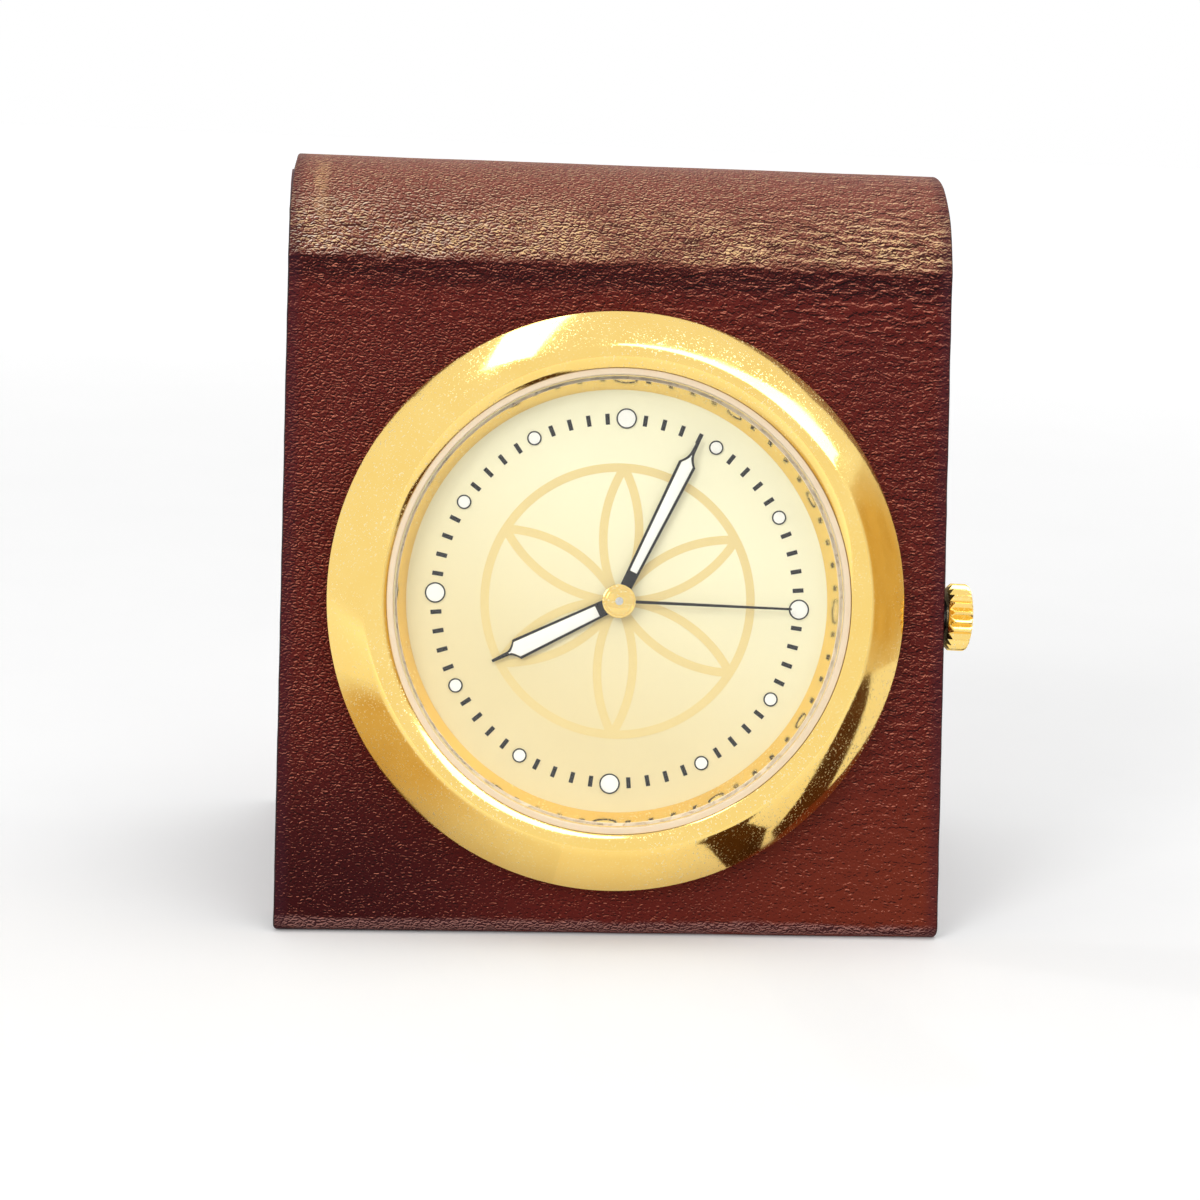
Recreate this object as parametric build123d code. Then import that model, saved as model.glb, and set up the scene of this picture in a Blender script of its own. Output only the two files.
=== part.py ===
from build123d import *
import math
import os

# Pendulette clock: a leather easel stand that carries a round gold quartz clock head.
# X runs to the viewer's right, Y away from the viewer, Z up. Lengths in millimetres, angles in degrees.

# Fits shared by all pieces
overrun = 2.0
seat_gap = 0.02
running_gap = 0.05
hole_clearance = 0.3

# Visible face of the head, from the dial outwards
dial_opening_radius = 20.9
rehaut_slope_width = 0.9
gasket_foot_width = 0.4
gasket_rim_width = 0.64
crest_inset = 1.4
wall_inset = 1.8
case_wall = 1.7
flange_width = 2.3

# Heights above the leather's front face
dial_face = 1.2
dial_thickness = 0.45
rehaut_height = 1.5
gasket_foot_thickness = 0.2
crystal_thickness = 1.5
crystal_chamfer = 0.15
bezel_edge_rise = 0.18
bezel_crest_rise = 0.55
crest_reach = 0.9
crest_drop = 0.28
lip_height = 1.95
lip_step = 0.3

# Stand
side_margin = 4.55
ridge_margin = 4.7
foot_margin = 4.8
lean_angle = 12.0
leg_angle = 10.0
head_turn = -1.4
roll_radius = 11.2
leather_thickness = 1.2
board_thickness = 5.0
lining_thickness = 0.8
leg_board_thickness = 1.2
foot_rounding = 1.2

# Screw slots, as a share of the shank
slot_share = 0.5

# Case back
back_thickness = 0.85
spigot_width = 0.9
spigot_height = 0.3
back_gasket_width = 0.3
back_gasket_thickness = 0.3
back_screw_count = 4
back_screw_radius = 0.4
back_screw_head_radius = 0.75
back_screw_head_height = 0.45
back_screw_length = 2.6

# Crown and stem
crown_level = 2.6
crown_radius = 3.4
crown_length = 2.6
crown_gap = 0.35
crown_flutes = 22
flute_depth = 0.42
crown_chamfer = 0.55
crown_dome = 0.3
crown_socket_radius = 1.75
crown_socket_depth = 1.6
crown_pull = 1.0
tube_radius = 1.1
tube_bore_radius = 0.75
tube_end_gap = 0.3
stem_radius = 0.5
stem_joint = 2.0
sleeve_setback = 2.4
crown_face_thickness = 0.6
crown_ring_length = 0.53

# Dial furniture
marker_inset = 2.83
marker_radius = 0.7
quarter_marker_radius = 1.0
marker_thickness = 0.1
marker_count = 12
dial_foot_radius = 0.4
dial_foot_length = 1.5
dial_foot_inset = 2.9
dial_foot_angles = (60, 240)

# Hands, which show 8:04:15
hour_angle = 242.0
minute_angle = 24.0
seconds_angle = 90.0
hand_thickness = 0.15
hand_gap = 0.19
hand_border = 0.2
hour_hand_height = 0.35
hour_tip_inset = 7.1
hour_point_length = 2.7
hour_needle_length = 1.6
hour_root_width = 1.5
hour_shoulder_width = 2.1
hour_lume_start = 2.3
hour_lume_setback = 1.8
minute_tip_inset = 2.9
minute_point_length = 2.9
minute_needle_length = 1.5
minute_root_width = 1.16
minute_shoulder_width = 1.8
minute_lume_start = 3.2
minute_lume_setback = 1.9
hand_neck_width = 0.36
hand_tip_width = 0.22
lume_tip_width = 0.16
point_reach_share = 0.4
point_width_share = 0.3
hand_boss_radius = 1.4
seconds_tip_inset = 3.7
seconds_root_width = 0.25
seconds_tip_width = 0.15
seconds_thickness = 0.1
seconds_boss_radius = 0.8
cap_radius = 1.66
cap_thickness = 0.14
cap_step_radius = 1.3
cap_step_thickness = 0.08
pin_radius = 0.4
pin_height = 0.08

# Movement shell
plate_wall = 1.1
plate_floor = 0.7
plate_margin = 4.85
recess_margin = 0.7
bridge_thickness = 0.5
bridge_gap = 0.35
post_radius = 0.9
post_shares = (0.55, 0.67, 0.75)
post_directions = (155.0, 41.6, 254.0)
battery_post_share = 0.79
battery_post_direction = -26.6
bridge_screw_radius = 0.3
bridge_screw_head_radius = 0.65
bridge_screw_head_height = 0.25
bridge_screw_length = 1.6
clamp_room = 0.5
clamp_count = 3
clamp_width = 2.2
clamp_thickness = 0.3
clamp_overlap = 0.8
clamp_reach = 2.4
clamp_screw_radius = 0.35
clamp_screw_head_radius = 0.75
clamp_screw_head_height = 0.35
clamp_screw_length = 1.8

# Wheels: tooth counts
rotor_teeth = 8
intermediate_teeth = 48
intermediate_pinion_teeth = 8
seconds_teeth = 40
seconds_pinion_teeth = 8
third_teeth = 60
third_pinion_teeth = 8
centre_teeth = 64
cannon_teeth = 12
minute_wheel_teeth = 36
minute_pinion_teeth = 10
hour_wheel_teeth = 40
setting_teeth = 16

# Wheels: tooth size, thickness, levels and directions from the centre
rotor_module = 0.10
seconds_module = 0.17
third_module = 0.12
motion_module = 0.15
tip_share = 0.9
root_share = 1.2
tooth_root_share = 0.22
tooth_tip_share = 0.09
wheel_thickness = 0.25
pinion_overlap = 0.05
train_step = 0.55
motion_step = 0.5
motion_top_gap = 0.25
floor_gap = 0.2
arbor_radius = 0.2
pivot_radius = 0.12
pivot_length = 0.3
centre_tube_wall = 0.2
hour_pipe_wall = 0.25
wheel_post_radius = 0.3
intermediate_direction = 100.0
third_direction = 215.0
rotor_direction = 55.0
minute_wheel_direction = -20.0
setting_direction = 18.0

# Motor and circuit
magnet_radius = 0.8
magnet_height = 0.6
stator_thickness = 0.3
stator_gap = 0.35
stator_boss = 0.55
stator_bar_width = 1.2
stator_leg_width = 1.4
stator_left = 7.0
stator_right = 3.2
coil_distance = 2.9
coil_radius = 1.05
coil_core_width = 1.2
coil_core_thickness = 0.3
coil_margin = 0.5
battery_radius = 3.95
battery_height = 2.1
battery_direction = -64.6
battery_step_radius = 3.4
battery_step_height = 0.3
clamp_strip_width = 1.6
clamp_strip_thickness = 0.2
board_left = 12.2
board_right = 7.5
board_half_height = 4.5
circuit_thickness = 0.4
can_radius = 0.7
can_length = 5.0
chip_size = 2.0
chip_height = 0.8
chip_inset = 0.6
can_inset = 2.1

# Setting works
lever_arm = 2.5
lever_thickness = 0.3
lever_half_width = 0.5
lever_pin_radius = 0.2
lever_pivot_radius = 0.4
lever_boss_radius = 0.8
lever_place = 9.0
lever_level_gap = 0.35
groove_depth = 0.22
groove_slack = 0.06
setting_pinion_radius = 0.8
setting_pinion_length = 0.8
setting_pinion_distance = 1.9
setting_pinion_teeth = 12
setting_pinion_tooth = 0.25

# Sizes that follow
crystal_radius = dial_opening_radius + rehaut_slope_width + gasket_foot_width
bezel_bore = crystal_radius + gasket_rim_width + 2 * seat_gap
case_bore = bezel_bore + wall_inset
case_radius = case_bore + case_wall
bezel_radius = case_radius + flange_width
hole_radius = case_radius + hole_clearance
panel_width = 2 * (bezel_radius + side_margin)
head_height = bezel_radius + foot_margin
front_height = head_height + bezel_radius + ridge_margin
block_thickness = leather_thickness + board_thickness + lining_thickness
leg_thickness = leather_thickness + leg_board_thickness + lining_thickness
dial_back = dial_face - dial_thickness
spacer_top = dial_back - seat_gap
crystal_floor = dial_face + seat_gap + rehaut_height + gasket_foot_thickness
crystal_top = crystal_floor + crystal_thickness
bezel_edge = crystal_top + bezel_edge_rise
bezel_crest = bezel_edge + bezel_crest_rise
marker_circle = dial_opening_radius - marker_inset
dial_foot_circle = dial_opening_radius - dial_foot_inset
hour_tip = dial_opening_radius - hour_tip_inset
hour_shoulder = hour_tip - hour_point_length
hour_neck = hour_tip - hour_needle_length
hour_lume_end = hour_tip - hour_lume_setback
minute_tip = dial_opening_radius - minute_tip_inset
minute_shoulder = minute_tip - minute_point_length
minute_neck = minute_tip - minute_needle_length
minute_lume_end = minute_tip - minute_lume_setback
seconds_tip = dial_opening_radius - seconds_tip_inset

# Train geometry that follows
rotor_reach = rotor_module * (rotor_teeth + intermediate_teeth) / 2
intermediate_reach = seconds_module * (intermediate_pinion_teeth + seconds_teeth) / 2
third_reach = third_module * (seconds_pinion_teeth + third_teeth) / 2
centre_module = 2 * third_reach / (third_pinion_teeth + centre_teeth)
motion_reach = motion_module * (cannon_teeth + minute_wheel_teeth) / 2
hour_module = 2 * motion_reach / (minute_pinion_teeth + hour_wheel_teeth)
setting_reach = motion_module * (minute_wheel_teeth + setting_teeth) / 2
third_radius = third_module * third_teeth / 2
plate_bore = third_reach + third_radius + plate_margin
movement_radius = plate_bore + plate_wall
extension_start = movement_radius + sleeve_setback

# Levels in the movement, counted outwards from the leather's front face
hour_wheel_top = spacer_top - motion_top_gap
minute_wheel_top = hour_wheel_top - motion_step
recess_floor = minute_wheel_top - wheel_thickness - floor_gap
floor_under = recess_floor - plate_floor
centre_wheel_top = floor_under - wheel_thickness
third_wheel_top = centre_wheel_top - train_step
seconds_wheel_top = third_wheel_top - train_step
intermediate_wheel_top = seconds_wheel_top - train_step
bridge_top = intermediate_wheel_top - wheel_thickness - bridge_gap
movement_back = bridge_top - bridge_thickness


def polar(reach, direction):
    """Place at a distance from the centre, with the direction counted from 3 o'clock."""
    turn = math.radians(direction)
    return reach * math.cos(turn), reach * math.sin(turn)


def clock_place(reach, angle):
    """Place on the dial at a clock angle, counted clockwise from 12 o'clock."""
    return polar(reach, 90 - angle)


def front_point(up, depth):
    """Side view of the front block: distance up its face and depth behind it, as (y, z)."""
    lean = math.radians(lean_angle)
    y = up * math.sin(lean) + depth * math.cos(lean)
    z = up * math.cos(lean) - depth * math.sin(lean)
    return y, z


def front_at_height(height, depth):
    """Side view of the front block: the point at this depth that lies at this height."""
    lean = math.radians(lean_angle)
    return front_point((height + depth * math.sin(lean)) / math.cos(lean), depth)


roll_centre = front_point(front_height, roll_radius)


def leg_point(down, depth):
    """Side view of the rear leg: distance down from the roll and depth inside its outer face."""
    splay = math.radians(leg_angle)
    reach = roll_radius - depth
    y = roll_centre[0] + reach * math.cos(splay) + down * math.sin(splay)
    z = roll_centre[1] + reach * math.sin(splay) - down * math.cos(splay)
    return y, z


def leg_at_height(height, depth):
    """Side view of the rear leg: the point at this depth that lies at this height."""
    splay = math.radians(leg_angle)
    down = (roll_centre[1] + (roll_radius - depth) * math.sin(splay) - height) / math.cos(splay)
    return leg_point(down, depth)


panel = Plane(
    origin=(0, *front_point(head_height, 0)),
    x_dir=(1, 0, 0),
    z_dir=(0, -math.cos(math.radians(lean_angle)), math.sin(math.radians(lean_angle))),
)
head = panel.location * Location((0, 0, 0), (0, 0, head_turn))


def slab(points):
    """A side profile, given as (y, z) points, made as wide as the panel."""
    face = make_face(Plane.YZ * Polyline(*points, close=True))
    return extrude(face, amount=panel_width / 2, both=True)


def disc(radius, low, high, at=(0, 0)):
    """A round disc or pin that stands on the dial's axis or beside it."""
    return Pos(at[0], at[1], (low + high) / 2) * Cylinder(radius, high - low)


def washer(outer, inner, low, high, at=(0, 0)):
    """A disc with a round hole right through."""
    return disc(outer, low, high, at) - disc(inner, low - overrun, high + overrun, at)


def block(left, right, bottom, top, low, high):
    """A square-edged block between stated sides and levels."""
    centre = Pos((left + right) / 2, (bottom + top) / 2, (low + high) / 2)
    return centre * Box(right - left, top - bottom, high - low)


def turned(outline):
    """A ring or knob turned about the dial's axis from its (radius, level) outline."""
    return revolve(make_face(Plane.XZ * outline), Axis.Z)


def rod(radius, start, end, level=-crown_level):
    """A round rod that lies towards 3 o'clock at the crown's level."""
    middle = Plane(origin=((start + end) / 2, 0, level), z_dir=(1, 0, 0))
    return middle * Cylinder(radius, end - start)


def tooth_points(teeth, module, phase):
    """Points of a straight-flanked gear outline, with one tooth centred at the phase angle."""
    pitch = 360 / teeth
    pitch_radius = module * teeth / 2
    root = pitch_radius - root_share * module
    tip = pitch_radius + tip_share * module
    points = []
    for number in range(teeth):
        middle = phase + number * pitch
        points.append(polar(root, middle - tooth_root_share * pitch))
        points.append(polar(tip, middle - tooth_tip_share * pitch))
        points.append(polar(tip, middle + tooth_tip_share * pitch))
        points.append(polar(root, middle + tooth_root_share * pitch))
    return points


def gear(teeth, module, phase, low, high, at=(0, 0)):
    """A toothed disc between two levels."""
    face = make_face(Polyline(*tooth_points(teeth, module, phase), close=True))
    return Pos(at[0], at[1], low) * extrude(face, amount=high - low)


def wheel(teeth, module, phase, top, at=(0, 0)):
    """A thin train wheel."""
    return gear(teeth, module, phase, top - wheel_thickness, top, at)


def pinion(teeth, module, phase, top, at=(0, 0)):
    """A small gear that stands a little proud of the wheel it drives, both ways."""
    low = top - wheel_thickness - pinion_overlap
    return gear(teeth, module, phase, low, top + pinion_overlap, at)


def meshing_phase(direction, phase, teeth, mate_teeth):
    """Phase of a gear that lies in this direction from its mate, so that tooth faces gap."""
    return direction + 180 + 180 / mate_teeth + (direction - phase) * teeth / mate_teeth


def arbor(at, top, bottom):
    """A wheel's shaft, with a thin pivot at each end."""
    shaft = disc(arbor_radius, bottom, top, at)
    return shaft + disc(pivot_radius, bottom - pivot_length, top + pivot_length, at)


# Places of the wheels
intermediate_place = polar(intermediate_reach, intermediate_direction)
third_place = polar(third_reach, third_direction)
minute_wheel_place = polar(motion_reach, minute_wheel_direction)
rotor_step = polar(rotor_reach, rotor_direction)
rotor_place = (intermediate_place[0] + rotor_step[0], intermediate_place[1] + rotor_step[1])
setting_step = polar(setting_reach, setting_direction)
setting_place = (minute_wheel_place[0] + setting_step[0], minute_wheel_place[1] + setting_step[1])

# Levels where arbors end
upper_shoulder = floor_under - floor_gap / 2
lower_shoulder = bridge_top + floor_gap / 2

# Places of posts, battery and coil
battery_place = polar(plate_bore - battery_radius - running_gap, battery_direction)
post_places = [polar(share * plate_bore, direction) for share, direction in zip(post_shares, post_directions)]
battery_post_place = polar(battery_post_share * plate_bore, battery_post_direction)
coil_line = rotor_place[1] + coil_distance


def front_leather():
    """Front leather, turned under the foot of the block."""
    inner = leather_thickness
    deep = leather_thickness + board_thickness
    points = [
        front_at_height(0, 0),
        front_point(front_height, 0),
        front_point(front_height, inner),
        front_at_height(leather_thickness, inner),
        front_at_height(leather_thickness, deep),
        front_at_height(0, deep),
    ]
    sheet = slab(points)
    edge = sheet.edges().filter_by(Axis.X).sort_by_distance((0, *front_at_height(0, 0)))[0]
    return fillet(edge, foot_rounding) - head * disc(hole_radius, -block_thickness, overrun)


def front_core():
    """Stiff core of the front block, drilled for the head and for the crown's tube."""
    deep = leather_thickness + board_thickness
    top = front_height - lining_thickness
    points = [
        front_at_height(leather_thickness, leather_thickness),
        front_point(top, leather_thickness),
        front_point(top, deep),
        front_at_height(leather_thickness, deep),
    ]
    core = slab(points) - head * disc(hole_radius, -block_thickness, overrun)
    return core - head * rod(tube_radius + running_gap, case_bore, panel_width)


def front_lining():
    """Lining on the back of the block, turned over the core's top edge."""
    deep = leather_thickness + board_thickness
    points = [
        front_at_height(0, deep),
        front_point(front_height - lining_thickness, deep),
        front_point(front_height - lining_thickness, leather_thickness),
        front_point(front_height, leather_thickness),
        front_point(front_height, block_thickness),
        front_at_height(0, block_thickness),
    ]
    return slab(points) - head * disc(hole_radius, -block_thickness - overrun, overrun)


def roll_sheet(outer, thickness):
    """A sheet bent round the roll, from the front ridge over the top to the leg."""
    start = 180 - lean_angle
    sweep = leg_angle - start
    inner = outer - thickness
    centre = Pos(roll_centre[0], roll_centre[1])
    arcs = centre * CenterArc((0, 0), outer, start, sweep)
    arcs += centre * CenterArc((0, 0), inner, start, sweep)
    ends = [polar(inner, start), polar(outer, start)], [polar(inner, leg_angle), polar(outer, leg_angle)]
    for low, high in ends:
        arcs += centre * Line(low, high)
    face = make_face(Plane.YZ * arcs)
    return extrude(face, amount=panel_width / 2, both=True)


def leg_leather():
    """Leather of the rear leg, turned under its foot."""
    deep = leather_thickness + leg_board_thickness
    points = [
        leg_at_height(0, 0),
        leg_point(0, 0),
        leg_point(0, leather_thickness),
        leg_at_height(leather_thickness, leather_thickness),
        leg_at_height(leather_thickness, deep),
        leg_at_height(0, deep),
    ]
    sheet = slab(points)
    edge = sheet.edges().filter_by(Axis.X).sort_by_distance((0, *leg_at_height(0, 0)))[0]
    return fillet(edge, foot_rounding)


def leg_core():
    """Thin stiffener inside the rear leg."""
    deep = leather_thickness + leg_board_thickness
    points = [
        leg_at_height(leather_thickness, leather_thickness),
        leg_point(lining_thickness, leather_thickness),
        leg_point(lining_thickness, deep),
        leg_at_height(leather_thickness, deep),
    ]
    return slab(points)


def leg_lining():
    """Lining on the inner side of the leg, turned over the stiffener's top edge."""
    deep = leather_thickness + leg_board_thickness
    points = [
        leg_at_height(0, deep),
        leg_point(lining_thickness, deep),
        leg_point(lining_thickness, leather_thickness),
        leg_point(0, leather_thickness),
        leg_point(0, leg_thickness),
        leg_at_height(0, leg_thickness),
    ]
    return slab(points)


def bezel_ring():
    """Bezel with a round crest and a nearly straight flank; its skirt rests on the leather."""
    crest = bezel_bore + crest_inset
    skirt = case_radius + seat_gap
    flank_top = (crest + crest_reach, bezel_crest - crest_drop)
    flank_foot = (bezel_radius - lip_step, lip_height)
    outline = Polyline(
        (bezel_bore, bezel_edge),
        (bezel_bore, dial_back),
        (skirt, dial_back),
        (skirt, seat_gap),
        (bezel_radius, seat_gap),
        (bezel_radius, lip_height),
        flank_foot,
    )
    crest_arc = TangentArc((crest, bezel_crest), flank_top, tangent=(1, 0))
    outline += crest_arc
    outline += TangentArc(flank_top, flank_foot, tangent=crest_arc % 1)
    outline += TangentArc((crest, bezel_crest), (bezel_bore, bezel_edge), tangent=(-1, 0))
    return turned(outline)


def crystal_glass():
    """Flat crystal with a small polished chamfer."""
    glass = disc(crystal_radius, crystal_floor, crystal_top)
    return chamfer(glass.edges().sort_by(Axis.Z)[-1], crystal_chamfer)


def gasket_ring():
    """L-shaped ring under and round the crystal."""
    foot = crystal_radius - gasket_foot_width
    outer = crystal_radius + seat_gap + gasket_rim_width
    floor = crystal_floor - gasket_foot_thickness
    outline = Polyline(
        (foot, floor),
        (outer, floor),
        (outer, crystal_top),
        (crystal_radius + seat_gap, crystal_top),
        (crystal_radius + seat_gap, crystal_floor),
        (foot, crystal_floor),
        close=True,
    )
    return turned(outline)


def rehaut():
    """Slanted ring between the dial and the crystal's gasket."""
    top = dial_face + seat_gap + rehaut_height
    outline = Polyline(
        (dial_opening_radius, dial_face + seat_gap),
        (bezel_bore - seat_gap, dial_face + seat_gap),
        (bezel_bore - seat_gap, top),
        (dial_opening_radius + rehaut_slope_width, top),
        close=True,
    )
    return turned(outline)


def dial_plate():
    """Dial with a centre hole and two feet behind."""
    plate = washer(bezel_bore - seat_gap, pipe_radius + hole_clearance, dial_back, dial_face)
    for angle in dial_foot_angles:
        foot = clock_place(dial_foot_circle, angle)
        plate += disc(dial_foot_radius, dial_back - dial_foot_length, dial_back, foot)
    return plate


def marker_dots():
    """Twelve luminous dots, larger at 12, 3, 6 and 9."""
    dots = []
    for number in range(marker_count):
        radius = quarter_marker_radius if number % 3 == 0 else marker_radius
        place = clock_place(marker_circle, number * 360 / marker_count)
        dots.append(disc(radius, dial_face, dial_face + marker_thickness, place))
    return dots


# Levels and bores of the hands
hour_level = dial_face + hour_hand_height
minute_level = hour_level + hand_thickness + hand_gap
seconds_level = minute_level + hand_thickness + hand_gap
cap_level = seconds_level + seconds_thickness
tube_bore = arbor_radius + running_gap
tube_outer = tube_bore + centre_tube_wall
pipe_bore = tube_outer + running_gap
pipe_radius = pipe_bore + hour_pipe_wall


def turned_to(angle):
    """Place of a hand that points at a clock angle."""
    return Rot(0, 0, -angle)


def blade(reaches, widths, low, high):
    """A flat blade that points at 12, given by half outlines along its length."""
    right = [(width / 2, reach) for reach, width in zip(reaches, widths)]
    left = [(-x, y) for x, y in reversed(right)]
    face = make_face(Polyline(*right, *left, close=True))
    return Pos(0, 0, low) * extrude(face, amount=high - low)


def point_outline(shoulder, neck, shoulder_width):
    """Where a hand curves in from its shoulder to its needle, and how wide it is there."""
    reach = shoulder + point_reach_share * (neck - shoulder)
    return reach, hand_neck_width + point_width_share * (shoulder_width - hand_neck_width)


def hand_frame(length, neck, shoulder, root_width, shoulder_width, window, bore, level, angle):
    """A black hand with a boss, a needle tip and a window for its luminous filling."""
    top = level + hand_thickness
    point, point_width = point_outline(shoulder, neck, shoulder_width)
    frame = blade(
        [0, shoulder, point, neck, length],
        [root_width, shoulder_width, point_width, hand_neck_width, hand_tip_width], level, top,
    )
    frame += disc(hand_boss_radius, level, top)
    frame -= disc(bore, level - overrun, top + overrun)
    return turned_to(angle) * (frame - window(level - overrun, top + overrun, 0))


def lume_blade(start, end, shoulder, neck, root_width, shoulder_width, low, high, slack):
    """A hand's filling, a border's width inside the frame, or its window."""
    growth = (shoulder_width - root_width) / shoulder
    point, point_width = point_outline(shoulder, neck, shoulder_width)
    widths = [root_width + growth * start, shoulder_width, point_width, lume_tip_width + 2 * hand_border]
    inside = [width - 2 * hand_border - 2 * slack for width in widths]
    return blade([start + slack, shoulder, point, end - slack], inside, low, high)


def hour_window(low, high, slack):
    """Filling of the hour hand, or its window."""
    return lume_blade(
        hour_lume_start, hour_lume_end, hour_shoulder, hour_neck,
        hour_root_width, hour_shoulder_width, low, high, slack,
    )


def minute_window(low, high, slack):
    """Filling of the minute hand, or its window."""
    return lume_blade(
        minute_lume_start, minute_lume_end, minute_shoulder, minute_neck,
        minute_root_width, minute_shoulder_width, low, high, slack,
    )


def hour_frame():
    """Hour hand."""
    return hand_frame(
        hour_tip, hour_neck, hour_shoulder, hour_root_width, hour_shoulder_width,
        hour_window, pipe_radius + seat_gap / 2, hour_level, hour_angle,
    )


def minute_frame():
    """Minute hand."""
    return hand_frame(
        minute_tip, minute_neck, minute_shoulder, minute_root_width, minute_shoulder_width,
        minute_window, tube_outer + seat_gap / 2, minute_level, minute_angle,
    )


def hour_filling():
    """White filling of the hour hand."""
    return turned_to(hour_angle) * hour_window(hour_level, hour_level + hand_thickness, seat_gap)


def minute_filling():
    """White filling of the minute hand."""
    return turned_to(minute_angle) * minute_window(minute_level, minute_level + hand_thickness, seat_gap)


def seconds_needle():
    """Thin seconds hand with a small boss under the cap."""
    top = seconds_level + seconds_thickness
    needle = blade([0, seconds_tip], [seconds_root_width, seconds_tip_width], seconds_level, top)
    needle += disc(seconds_boss_radius, seconds_level, top)
    needle -= disc(arbor_radius + seat_gap / 2, seconds_level - overrun, top + overrun)
    return turned_to(seconds_angle) * needle


def stepped_cap():
    """Gold cap over the hands, with a raised middle."""
    step = cap_level + cap_thickness
    cap = disc(cap_radius, cap_level, step) + disc(cap_step_radius, step, step + cap_step_thickness)
    return cap - disc(arbor_radius + seat_gap / 2, cap_level - overrun, step + cap_step_thickness + overrun)


def cap_pin():
    """Steel pin in the middle of the cap."""
    low = cap_level + cap_thickness + cap_step_thickness
    return disc(pin_radius, low, low + pin_height)


# Levels at the case's rear
case_end = -block_thickness
gasket_seat = case_end - seat_gap + back_gasket_thickness
back_inner = case_end - seat_gap
back_outer = back_inner - back_thickness
screw_circle = case_radius - case_wall / 2
screw_angles = [45 + number * 360 / back_screw_count for number in range(back_screw_count)]


def case_ring():
    """Case body, with a rebate for the rear gasket, a seat for the tube and screw holes."""
    ring = washer(case_radius, case_bore, case_end, spacer_top)
    rebate = case_bore + back_gasket_width + seat_gap
    ring -= disc(rebate, case_end - overrun, gasket_seat + seat_gap)
    ring -= rod(tube_radius + seat_gap / 2, 0, case_radius + overrun)
    for angle in screw_angles:
        hole = polar(screw_circle, angle)
        ring -= disc(back_screw_radius + seat_gap, case_end - overrun, case_end + back_screw_length, hole)
    return ring


def rear_plate():
    """Case back: its flange lies on the lining and its spigot fits the case."""
    plate = disc(bezel_radius, back_outer, back_inner)
    spigot = case_bore - seat_gap
    plate += washer(spigot, spigot - spigot_width, back_inner, back_inner + spigot_height)
    for angle in screw_angles:
        hole = polar(screw_circle, angle)
        plate -= disc(back_screw_radius + seat_gap, back_outer - overrun, back_inner + overrun, hole)
        seat = back_outer + back_screw_head_height
        plate -= disc(back_screw_head_radius + running_gap, back_outer - overrun, seat, hole)
    return plate


def rear_gasket():
    """Flat gasket between the case and its back."""
    inner = case_bore + seat_gap / 2
    return washer(inner + back_gasket_width, inner, back_inner + seat_gap, gasket_seat)


def slotted_screw(head_radius, head_height, radius, length, base, upwards, at):
    """A slotted screw whose head stands on a level, with the shank going into the piece."""
    way = 1 if upwards else -1
    head_low, head_high = sorted((base, base - way * head_height))
    shank_low, shank_high = sorted((base, base + way * length))
    screw = disc(head_radius, head_low, head_high, at) + disc(radius, shank_low, shank_high, at)
    face = base - way * head_height
    slot = Pos(at[0], at[1], face) * Box(2 * head_radius + overrun, slot_share * radius, head_height)
    return screw - slot


def rear_screws():
    """Four slotted screws that pull the case back against the case."""
    seat = back_outer + back_screw_head_height
    return [
        slotted_screw(
            back_screw_head_radius, back_screw_head_height - seat_gap, back_screw_radius, back_screw_length,
            seat, True, polar(screw_circle, angle),
        )
        for angle in screw_angles
    ]


# Places along the crown's axis
side_face = panel_width / 2
crown_start = side_face + crown_gap
crown_end = crown_start + crown_length
extension_radius = tube_bore_radius - running_gap - seat_gap
socket_floor = crown_start + crown_socket_depth
tube_end = socket_floor - tube_end_gap


def winding_crown():
    """Fluted knob, with a socket round the tube and a bore for the stem."""
    waist = crown_radius - crown_chamfer
    outline = Polyline(
        (0, crown_start),
        (waist, crown_start),
        (crown_radius, crown_start + crown_chamfer),
        (crown_radius, crown_end - crown_dome),
    )
    outline += Line((0, crown_end), (0, crown_start))
    outline += ThreePointArc(
        (crown_radius, crown_end - crown_dome),
        (crown_radius * math.sqrt(0.5), crown_end - crown_dome / 2),
        (0, crown_end),
    )
    star = []
    for number in range(crown_flutes):
        star.append(polar(crown_radius + seat_gap, number * 360 / crown_flutes))
        star.append(polar(crown_radius - flute_depth, (number + 0.5) * 360 / crown_flutes))
    fluted = extrude(make_face(Polyline(*star, close=True)), amount=crown_end + overrun)
    knob = turned(outline) & fluted
    knob -= disc(crown_socket_radius, crown_start - overrun, socket_floor)
    knob -= disc(extension_radius + seat_gap / 2, crown_start - overrun, crown_end - crown_face_thickness)
    along = Plane(origin=(0, 0, -crown_level), x_dir=(0, 1, 0), z_dir=(1, 0, 0))
    return along.location * knob


def guide_tube():
    """Tube from the case wall to the crown."""
    tube = rod(tube_radius, case_bore + seat_gap, tube_end)
    return tube - rod(tube_bore_radius, 0, tube_end + overrun)


def crown_ring():
    """Rubber ring in the crown's socket, rubbing on the tube."""
    start = crown_start + seat_gap
    ring = rod(crown_socket_radius - running_gap / 2, start, start + crown_ring_length)
    return ring - rod(tube_radius + running_gap / 2, 0, crown_end)


groove_width = 2 * lever_pin_radius + groove_slack
lever_rest_place = lever_place - crown_pull / 2
pinion_start = lever_rest_place - setting_pinion_distance
stem_end = extension_start + stem_joint


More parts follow.
